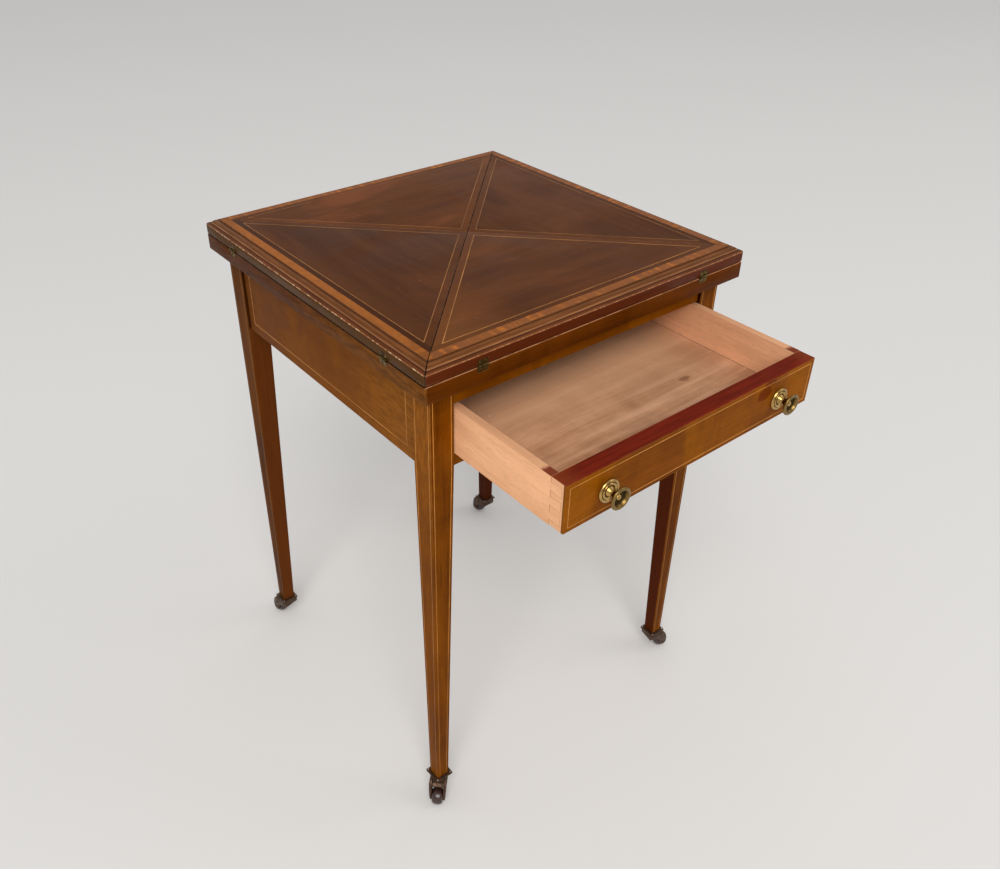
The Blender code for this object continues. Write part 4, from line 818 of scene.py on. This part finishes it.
class CARDTABLE_OT_baize(bpy.types.Operator):
    """Lay the green baize on the bed and on the playing side of each leaf"""
    bl_idname = "card_table.baize"
    bl_label = "Baize"

    def execute(self, context):
        cloth = self.cloth()
        thickness = BAIZE_BED_HIGH.z - BAIZE_BED_LOW.z
        half = (BAIZE_BED_HIGH.x - BAIZE_BED_LOW.x) / 2
        bm = bmesh.new()
        bmesh.ops.create_grid(bm, x_segments=BED_CELLS, y_segments=BED_CELLS, size=half)
        bmesh.ops.translate(bm, vec=CENTRE + Vector((0, 0, BAIZE_BED_HIGH.z)), verts=bm.verts)
        sunk(bm, bm.faces[:], (0, 0, -thickness))
        bed = add_piece(bm, "baize_bed", cloth, "top", "green_baize", "bed_baize")
        half_width = (BAIZE_LEAF_HIGH.x - BAIZE_LEAF_LOW.x) / 2
        near = CENTRE.y - BAIZE_LEAF_LOW.y
        depth = BAIZE_LEAF_HIGH.y - BAIZE_LEAF_LOW.y
        for side in SIDES:
            bm = bmesh.new()
            height = BAIZE_LEAF_HIGH.z
            thin_face(bm, [(-half_width, -near, height), (half_width, -near, height), (0, -near + depth, height)])
            bmesh.ops.triangulate(bm, faces=bm.faces[:])
            bmesh.ops.subdivide_edges(bm, edges=bm.edges[:], cuts=LEAF_CUTS, use_grid_fill=True)
            sunk(bm, bm.faces[:], (0, 0, -thickness))
            piece = add_piece(bm, f"baize_leaf_{side}", cloth, f"{side}_leaf", "green_baize", f"leaf_baize_{side}",
                              placing=side_placing(side))
        return {"FINISHED"}

    def cloth(self):
        cloth = Surface("baize", 0.95, Sheen_Weight=0.12, Sheen_Roughness=0.6, Specular_IOR_Level=0.1)
        green = colours().baize
        nap = cloth.noise(cloth.place, 1400.0, 3.0, 0.6)
        clouds = cloth.ramp(cloth.noise(cloth.place, 9.0, 4.0, 0.6), 0.35, 0.65)
        lint = cloth.ramp(cloth.noise(cloth.place, 420.0, 2.0), 0.66, 0.74)
        cloth.colour = cloth.shades(nap, green, 0.6, 1.35)
        cloth.lay(scaled(green, 1.5), clouds, 0.3)
        cloth.lay(srgb(150, 160, 140), lint, 0.25)
        return cloth.finished(Normal=cloth.bumped(nap, 0.0002, 0.6))


class CARDTABLE_OT_frame(bpy.types.Operator):
    """Polish the legs and rails, and let in their stringing"""
    bl_idname = "card_table.frame"
    bl_label = "Legs and rails"

    def execute(self, context):
        golden = colours().golden_boxwood
        string = boxwood_surface("boxwood_frame", golden, dull_below=0.55)
        # The back legs' stringing is painted duller, as shade under the table
        back_leg_shaded_string = boxwood_surface("boxwood_back_legs", scaled(golden, 0.50), dull_below=0.55)
        # A leg's tint paints shade: the back legs, in the table's shade, are darkest; its inside tone paints its
        # inner faces darker as shade
        for number, (corner, tint, inside) in enumerate((
                ("front_left", 0.88, (84, 36, 8)), ("front_right", 0.82, (74, 28, 6)),
                ("back_left", 0.56, (92, 46, 14)), ("back_right", 0.60, (66, 26, 9)))):
            paint(self.leg_wood(number, corner, tint, srgb(*inside)), f"leg_{corner}")
            self.leg_strings(corner, back_leg_shaded_string if corner.startswith("back") else string)
        for number, (rail, along, tint) in enumerate((
                ("rail_left", "Y", 0.86), ("rail_right", "Y", 0.86), ("rail_back", "X", 0.80),
                ("rail_front_top", "X", 0.95), ("rail_front_bottom", "X", 0.95))):
            paint(self.rail_wood(number, rail, along, tint), rail)
        self.rail_strings(string)
        return {"FINISHED"}

    def leg_wood(self, number, corner, tint, inside):
        """A leg's two inner faces are painted a darker red as shade, with a painted shadow above the rails' lower
        edge, and the one at the front left is golden at its top.
        """
        wood = Wood(f"mahogany_leg_{corner}", scaled(colours().frame_dark, tint), scaled(colours().frame_light, tint),
                    "Z", (number * 1.3, number * 0.7, 0.4), figure=0.25)
        x, y, z = wood.parts(wood.place)
        skins = [wood.ramp(wood.calc("MULTIPLY_ADD", value, -side, LEG_OUTER + side * middle), 0.0009, 0.0004)
                 for value, side, middle in zip((x, y), CORNERS[corner], CENTRE)]
        inner = wood.shades(wood.drawn(wood.place, (260.0, 260.0, 9.0), 4.0, 0.6), inside, 0.7, 1.3)
        # Painted shadow on the inner faces beside the recessed rails, above the rails' lower edge
        inner = wood.blend(wood.ramp(z, RAIL_LOW.z, RAIL_LOW.z + 0.004, 0.0, 0.7), inner, srgb(34, 16, 8))
        wood.colour = wood.blend(wood.calc("MAXIMUM", *skins), inner, wood.colour)
        if corner == "front_left":
            wood.lay(wood.mottled("Z", srgb(156, 94, 28)), wood.ramp(z, 0.42, 0.70, 0.0, 0.55), skins[0])
        return wood.polished(FRAME_WORN)

    def rail_wood(self, number, rail, along, tint):
        """The left rail is golden at its near end and darker at its far end."""
        dark, light = colours().frame_dark, colours().frame_light
        wood = Wood(f"mahogany_{rail}", scaled(mixed(dark, light, 0.55), tint), scaled(light, tint), along,
                    (number * 0.9, 0.2, number * 0.37), figure=0.5, warm=scaled(srgb(158, 92, 6), tint))
        if rail == "rail_left":
            y = wood.parts(wood.place)[1]
            near = wood.ramp(y, CENTRE.y, CENTRE.y - REACH * 0.8, 0.0, 0.6)
            far = wood.ramp(y, CENTRE.y - REACH * 0.4, CENTRE.y + REACH * 0.8, 0.0, 0.5)
            wood.lay(wood.mottled("Y", srgb(138, 84, 28)), near)
            wood.lay(wood.mottled("Y", srgb(84, 50, 32)), far)
        return wood.polished(FRAME_WORN)

    def leg_strings(self, corner, material):
        """Two lines down each outer face, the inner one following the taper."""
        inset = sizes().leg_string_inset
        out = LEG_OUTER + sizes().inlay_proud
        top, foot = LEG_TOP - LEG_STRING_TOP_GAP, LEG_FOOT + LEG_STRING_FOOT_GAP
        straight = LEG_OUTER - inset
        kink = LEG_OUTER - LEG_WIDTH + inset
        end = LEG_OUTER - FOOT_WIDTH + inset
        bm = bmesh.new()
        for across, reach in enumerate(CORNERS[corner]):
            outwards = CORNERS[corner][1 - across]
            for line in (((straight, top), (straight, foot)), ((kink, top), (kink, TAPER_START), (end, foot))):
                points = []
                for distance, height in line:
                    point = [0, 0, height]
                    point[across], point[1 - across] = reach * distance, outwards * out
                    points.append(point)
                step, into = Vector(), Vector()
                step[across] = sizes().fine_string_width
                into[1 - across] = -outwards * INLAY_DEPTH
                string_line(bm, points, step, into)
        add_piece(bm, f"stringing_leg_{corner}", material, "frame", "frame_mahogany",
                  placing=Matrix.Translation(CENTRE))

    def rail_strings(self, material):
        """A panel of stringing on the outer face of the side and back rails."""
        reach = LEG_OUTER - LEG_WIDTH
        for side, end in (("left", RAIL_NEAR_INSET), ("right", RAIL_INSET), ("back", RAIL_INSET)):
            bm = bmesh.new()
            string_panel(bm, RAIL_INSET - reach, reach - end, RAIL_LOW.z + RAIL_INSET, RAIL_HIGH.z - RAIL_INSET,
                         RAIL_LOW.x - sizes().inlay_proud)
            add_piece(bm, f"stringing_rail_{side}", material, "frame", "frame_mahogany", placing=side_placing(side))


class CARDTABLE_OT_carcase(bpy.types.Operator):
    """Finish the bare wood inside the frame"""
    bl_idname = "card_table.carcase"
    bl_label = "Carcase"

    def execute(self, context):
        pale = colours().carcase
        for number, (name, along, nodes) in enumerate((
                ("board", "X", ("pivot_board",)), ("runners", "Y", ("drawer_runner_left", "drawer_runner_right")),
                ("peg", "Z", ("stop_peg",)))):
            wood = Wood(f"carcase_{name}", scaled(pale, 0.55), pale, along, (number, 0.4, 0.9), roughness=0.62,
                        polish=0.0, figure=0.2)
            paint(wood.polished(), *nodes)
        return {"FINISHED"}


class CARDTABLE_OT_drawer(bpy.types.Operator):
    """Finish the drawer, with its stringing and its stained upper edge"""
    bl_idname = "card_table.drawer"
    bl_label = "Drawer"

    def execute(self, context):
        paint(self.front(), "drawer_front")
        paint(self.side_lining(), "drawer_side_left", "drawer_side_right")
        paint(self.floor_lining(), "drawer_bottom")
        rear = Wood("lining_rear", colours().lining_dark, colours().lining_light, "X", (0.4, 0.1, 0.3),
                    roughness=0.6, polish=0.0)
        paint(rear.polished(), "drawer_back")
        self.string()
        return {"FINISHED"}

    def front(self):
        """Veneer on a pale core that shows at the ends, red stain on top, and red polish spilt on the face."""
        dark, light, stain = colours().frame_dark, colours().frame_light, colours().red_stain
        lining = colours().lining_dark
        wood = Wood("mahogany_drawer_front", scaled(mixed(dark, light, 0.42), 0.80),
                    scaled(mixed(light, srgb(156, 82, 14), 0.6), 0.82), "X", (0.25, 0.8, 0.55), figure=0.4,
                    warm=srgb(168, 98, 6))
        x, y, z = wood.parts(wood.place)
        streaks = wood.ramp(wood.drawn(wood.place, (14.0, 160.0, 160.0), 4.0, 0.65), 0.35, 0.65)
        faded = wood.ramp(wood.calc("ABSOLUTE", x), FRONT_HIGH.x - 0.035, FRONT_HIGH.x, 0.0, 0.5)
        stained = wood.blend(faded, wood.shades(streaks, stain, 0.72, 1.12), srgb(132, 62, 30))
        top = wood.ramp(z, FRONT_HIGH.z - 0.0007, FRONT_HIGH.z - 0.0003)
        wood.lay(stained, top)
        wood.lay(scaled(lining, 0.8), wood.ramp(y, FRONT_HIGH.y - 0.0008, FRONT_HIGH.y - 0.0003))
        for stretch, middle in (((74.0, 0.0, 109.0), (0.1123, 0, 0.6646)), ((83.0, 0.0, 217.0), (0.1200, 0, 0.6765))):
            wood.lay(srgb(100, 40, 6), wood.mark(stretch, middle, 160.0, 0.5, 1.28, 1.08), 0.88)
        across = wood.calc("ABSOLUTE", wood.calc("SUBTRACT", x, CENTRE.x))
        end = wood.times(wood.ramp(across, FRONT_HIGH.x - 0.0006, FRONT_HIGH.x - 0.0002),
                         wood.ramp(y, FRONT_LOW.y + 0.0020, FRONT_LOW.y + 0.0026))
        core = wood.blend(wood.drawn(wood.place, (90.0, 20.0, 300.0)), mixed(lining, colours().lining_light, 0.6),
                          scaled(colours().lining_light, 1.06))
        core = wood.blend(wood.ramp(y, FRONT_LOW.y + 0.0036, FRONT_LOW.y + 0.0028), core, srgb(96, 60, 42))
        wood.lay(wood.blend(top, core, stained), end)
        return wood.polished(FRAME_WORN)

    def side_lining(self):
        """The sides have worn upper edges, and the front's red stain has run on to their near ends."""
        dark, light = colours().lining_dark, colours().lining_light
        wood = Wood("lining_sides", scaled(mixed(dark, light, 0.55), 1.08), scaled(light, 1.16), "Y", (0.1, 0.6, 0.2),
                    roughness=0.6, polish=0.0, figure=0.3, warm=scaled(light, 1.2))
        x, y, z = wood.parts(wood.place)
        top = wood.ramp(z, FRONT_HIGH.z - 0.0008, FRONT_HIGH.z - 0.0002)
        run = wood.calc("ADD", y, wood.times(wood.noise(wood.place, 90.0), 0.012))
        wood.lay(scaled(dark, 0.6), top, 0.35)
        wood.lay(colours().red_stain, top, wood.ramp(run, FRONT_HIGH.y + 0.024, FRONT_HIGH.y + 0.016), 0.92)
        return wood.polished()

    def floor_lining(self):
        """The bottom has broad bands, specks, a brown mark, dust and fluff along its joints, and painted light
        towards its back.
        """
        dark, light = colours().lining_dark, colours().lining_light
        wood = Wood("lining_floor", scaled(dark, 0.74), scaled(light, 0.74), "X", (0.9, 0.3, 0.7), roughness=0.62,
                    polish=0.0, figure=0.3)
        x, y, z = wood.parts(wood.place)
        broad = wood.drawn(wood.place, (2.6, 46.0, 1.0), turn=(0, 0, 0.02))
        wood.lay(srgb(142, 106, 80), wood.handled["Clouds"], 0.50)
        wood.lay(srgb(222, 172, 138), wood.ramp(broad, 0.50, 0.66), 0.45)
        # Painted light: lighter towards the back, where the frame's shade falls on the bottom
        wood.lay(srgb(228, 172, 130), wood.ramp(y, FLOOR_NEAR + 0.08, FLOOR_NEAR + 0.20, 0.0, 0.62))
        wood.lay(srgb(226, 206, 184), wood.handled["Marks"], 0.3)
        wood.lay(srgb(110, 66, 42), wood.mark((83.0, 150.0, 0.0), (9.19 / 83, -0.214, 0), 170.0, 1.1, 1.5, 0.9), 0.60)
        joint = wood.ramp(wood.calc("ABSOLUTE", x), SIDE_INNER - 0.0014, SIDE_INNER - 0.0006)
        fluff = wood.times(wood.ramp(wood.noise(wood.place, 420.0, 2.0), 0.60, 0.68),
                           wood.ramp(x, SIDE_INNER - 0.006, SIDE_INNER - 0.002))
        wood.lay(srgb(62, 40, 28), joint, 0.75)
        wood.lay(srgb(236, 214, 190), fluff, 0.7)
        return wood.polished()

    def string(self):
        inset = sizes().drawer_string_inset
        bm = bmesh.new()
        string_panel(bm, FRONT_LOW.x + inset, FRONT_HIGH.x - inset, FRONT_LOW.z + inset, FRONT_HIGH.z - inset,
                     FRONT_LOW.y - sizes().inlay_proud)
        add_piece(bm, "stringing_drawer", boxwood_surface("boxwood_drawer", colours().golden_boxwood), "drawer",
                  "frame_mahogany")


class CARDTABLE_OT_knobs(bpy.types.Operator):
    """Turn the two brass knobs on their ringed rosettes"""
    bl_idname = "card_table.knobs"
    bl_label = "Knobs"

    def execute(self, context):
        low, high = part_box("knob_right")
        axis = (low + high) / 2

        def dull_head(metal, grime):
            """Grime on each head outside its boss, thickest in the dish."""
            x, y, z = metal.parts(metal.place)
            across = metal.calc("SUBTRACT", metal.calc("ABSOLUTE", x), axis.x)
            squares = [metal.calc("POWER", value, 2.0) for value in (across, metal.calc("SUBTRACT", z, axis.z))]
            radius = metal.calc("SQRT", metal.calc("ADD", *squares))
            head = metal.ramp(y, FRONT_LOW.y - 0.0100, FRONT_LOW.y - 0.0130)
            ring = metal.ramp(radius, 0.0036, 0.0048, 0.0, 0.55)
            dish = metal.times(metal.within(radius, 0.0050, 0.0088, 0.0006), 0.40)
            return metal.calc("MAXIMUM", grime, metal.times(head, metal.calc("ADD", ring, dish)))

        brass = metal_surface("aged_brass", colours().brass, colours().brass_dirt, 0.16, 0.30, 90.0,
                              special=dull_head)
        outline = [point for curve in KNOB_CURVES for point in eased(curve)[:-1]]
        for side in ("left", "right"):
            low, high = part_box(f"knob_{side}")
            centre = Vector(((low.x + high.x) / 2, FRONT_LOW.y, (low.z + high.z) / 2))
            knob = turned(metres(outline + list(KNOB_STUD)), KNOB_STEPS, centre, (0, -1, 0))
            add_piece(knob, f"turned_knob_{side}", brass, "drawer", "aged_brass", f"knob_{side}",
                      smooth=KNOB_SMOOTH_ANGLE)
        return {"FINISHED"}


class CARDTABLE_OT_hinges(bpy.types.Operator):
    """Finish the butt hinges and drive in their screws"""
    bl_idname = "card_table.hinges"
    bl_label = "Hinges"

    def execute(self, context):
        bright, dirt = colours().brass, colours().brass_dirt
        brass = metal_surface("hinge_brass", scaled(bright, 0.36), dirt, 0.40, 0.8, 220.0)
        screw = metal_surface("hinge_screws", scaled(bright, 0.50), dirt, 0.30, 0.5, 300.0)
        for side in SIDES:
            for number in (1, 2):
                for half, body, lift in (("leaf", f"{side}_leaf", SCREW_LIFT), ("bed", "top", -SCREW_LIFT)):
                    node = f"hinge_{half}_half_{side}_{number}"
                    paint(brass, node)
                    self.screws(node, side, body, lift, screw)
        return {"FINISHED"}

    def screws(self, node, side, body, lift, material):
        """Two heads let into one plate."""
        back = side_placing(side).inverted()
        low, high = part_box(node)
        middle = (back @ low + back @ high) / 2
        radius = sizes().screw_radius
        bm = bmesh.new()
        for step in (-SCREW_SPREAD, SCREW_SPREAD):
            head = bmesh.ops.create_cone(bm, cap_ends=True, segments=20, radius1=radius, radius2=radius * 0.9,
                                         depth=SCREW_DEPTH)["verts"]
            bmesh.ops.rotate(bm, cent=(0, 0, 0), matrix=Matrix.Rotation(math.pi / 2, 3, "X"), verts=head)
            bmesh.ops.translate(bm, vec=(middle.x + step, -REACH, middle.z + lift), verts=head)
        add_piece(bm, f"screws_{node}", material, body, "aged_brass", placing=side_placing(side))


class CARDTABLE_OT_casters(bpy.types.Operator):
    """Finish the caster plates and horns, turn the wheels and set the rivets"""
    bl_idname = "card_table.casters"
    bl_label = "Casters"

    def execute(self, context):
        dark = colours().caster_metal
        metal = metal_surface("caster_metal", dark, scaled(dark, 0.3), 0.36, 0.7, 180.0, bare=0.6)
        bright = metal_surface("caster_rivets", srgb(200, 196, 190), srgb(90, 84, 78), 0.25, 0.3, 300.0)
        glaze = self.glaze()
        for corner in CORNERS:
            paint(metal, f"caster_plate_{corner}")
            horn = softened(f"caster_horn_{corner}", HORN_EASING)
            self.hood(horn, corner)
            add_piece(horn, f"cast_horn_{corner}", metal, f"{corner}_swivel", "dark_brass", f"caster_horn_{corner}",
                      smooth=SMOOTH_ANGLE)
            self.wheel(corner, glaze)
            self.rivets(corner, bright)
        return {"FINISHED"}

    def joint(self, name):
        return next(joint for joint in frame["joints"] if joint["name"] == name)

    def hood(self, bm, corner):
        """Draws the crown's edge out between the cheeks, over the wheel."""
        stem = Vector(self.joint(f"{corner}_caster_swivel")["pos_m"])
        trail = Vector(self.joint(f"{corner}_wheel_spin")["pos_m"]) - stem
        hood = bmesh.new()
        faces = thin_face(hood, [(out, -HOOD_HALF_WIDTH, height) for out, height in metres(HOOD_OUTLINE)])
        sunk(hood, faces, (0, 2 * HOOD_HALF_WIDTH, 0))
        placing = Matrix.Translation((stem.x, stem.y, 0)) @ Matrix.Rotation(math.atan2(trail.y, trail.x), 4, "Z")
        bmesh.ops.transform(hood, matrix=placing, verts=hood.verts)
        mesh = finished_mesh(hood, "hood")
        bm.from_mesh(mesh)
        bpy.data.meshes.remove(mesh)

    def wheel(self, corner, material):
        joint = self.joint(f"{corner}_wheel_spin")
        tread = eased(WHEEL_TREAD, 4)
        outline = tread + [(radius, -height) for radius, height in reversed(tread)]
        wheel = turned(metres(outline + outline[:1]), WHEEL_STEPS, joint["pos_m"], joint["axis"])
        add_piece(wheel, f"glazed_wheel_{corner}", material, f"{corner}_wheel", "brown_wheel",
                  f"caster_wheel_{corner}", smooth=SMOOTH_ANGLE)

    def rivets(self, corner, material):
        low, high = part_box(f"caster_plate_{corner}")
        centre = (low + high) / 2
        reach = (high.x - low.x) / 2 - RIVET_INSET
        bm = bmesh.new()
        for side_x, side_y in CORNERS.values():
            dome = bmesh.ops.create_icosphere(bm, subdivisions=2, radius=sizes().rivet_radius)["verts"]
            bmesh.ops.scale(bm, vec=(1, 1, RIVET_FLATNESS), verts=dome)
            bmesh.ops.translate(bm, vec=(centre.x + side_x * reach, centre.y + side_y * reach, high.z), verts=dome)
        add_piece(bm, f"rivets_{corner}", material, "frame", "dark_brass", smooth=math.pi)

    def glaze(self):
        glaze = Surface("brown_glaze", 0.22, Coat_Weight=0.35, Coat_Roughness=0.22)
        chips = glaze.ramp(glaze.noise(glaze.place, 700.0, 3.0, 0.7), 0.62, 0.72)
        glaze.colour = glaze.shades(glaze.noise(glaze.place, 180.0, 4.0, 0.6), colours().wheel, 0.6, 1.5)
        glaze.lay(srgb(120, 92, 70), chips, 0.5)
        return glaze.finished(Roughness=glaze.calc("MULTIPLY_ADD", chips, 0.4, 0.22))


class CARDTABLE_OT_pivot(bpy.types.Operator):
    """Finish the pivot bolt and its nut"""
    bl_idname = "card_table.pivot"
    bl_label = "Pivot"

    def execute(self, context):
        iron = metal_surface("pivot_iron", colours().iron, scaled(colours().iron, 0.3), 0.38, 0.6, 120.0)
        paint(iron, "pivot_bolt", "pivot_nut")
        return {"FINISHED"}


class CARDTABLE_PT_pieces(bpy.types.Panel):
    """The table's operators, in the 3D view's sidebar"""
    bl_label = "Envelope Card Table"
    bl_idname = "CARDTABLE_PT_pieces"
    bl_space_type = "VIEW_3D"
    bl_region_type = "UI"
    bl_category = "Card Table"

    def draw(self, context):
        for operator in OPERATORS:
            self.layout.operator(operator.bl_idname)
        for group in (context.scene.card_table_sizes, context.scene.card_table_colours):
            box = self.layout.box()
            for name in group.__annotations__:
                box.prop(group, name)


OPERATORS = (CARDTABLE_OT_stage, CARDTABLE_OT_leaves, CARDTABLE_OT_bed, CARDTABLE_OT_baize, CARDTABLE_OT_frame,
             CARDTABLE_OT_carcase, CARDTABLE_OT_drawer, CARDTABLE_OT_knobs, CARDTABLE_OT_hinges,
             CARDTABLE_OT_casters, CARDTABLE_OT_pivot)
CLASSES = (CardTableSizes, CardTableColours, *OPERATORS, CARDTABLE_PT_pieces)


def register():
    for item in CLASSES:
        bpy.utils.register_class(item)
    bpy.types.Scene.card_table_sizes = PointerProperty(type=CardTableSizes)
    bpy.types.Scene.card_table_colours = PointerProperty(type=CardTableColours)


def unregister():
    del bpy.types.Scene.card_table_sizes
    del bpy.types.Scene.card_table_colours
    for item in reversed(CLASSES):
        bpy.utils.unregister_class(item)


def main():
    register()
    for operator in OPERATORS:
        area, name = operator.bl_idname.split(".")
        getattr(getattr(bpy.ops, area), name)()


if __name__ == "__main__":
    main()
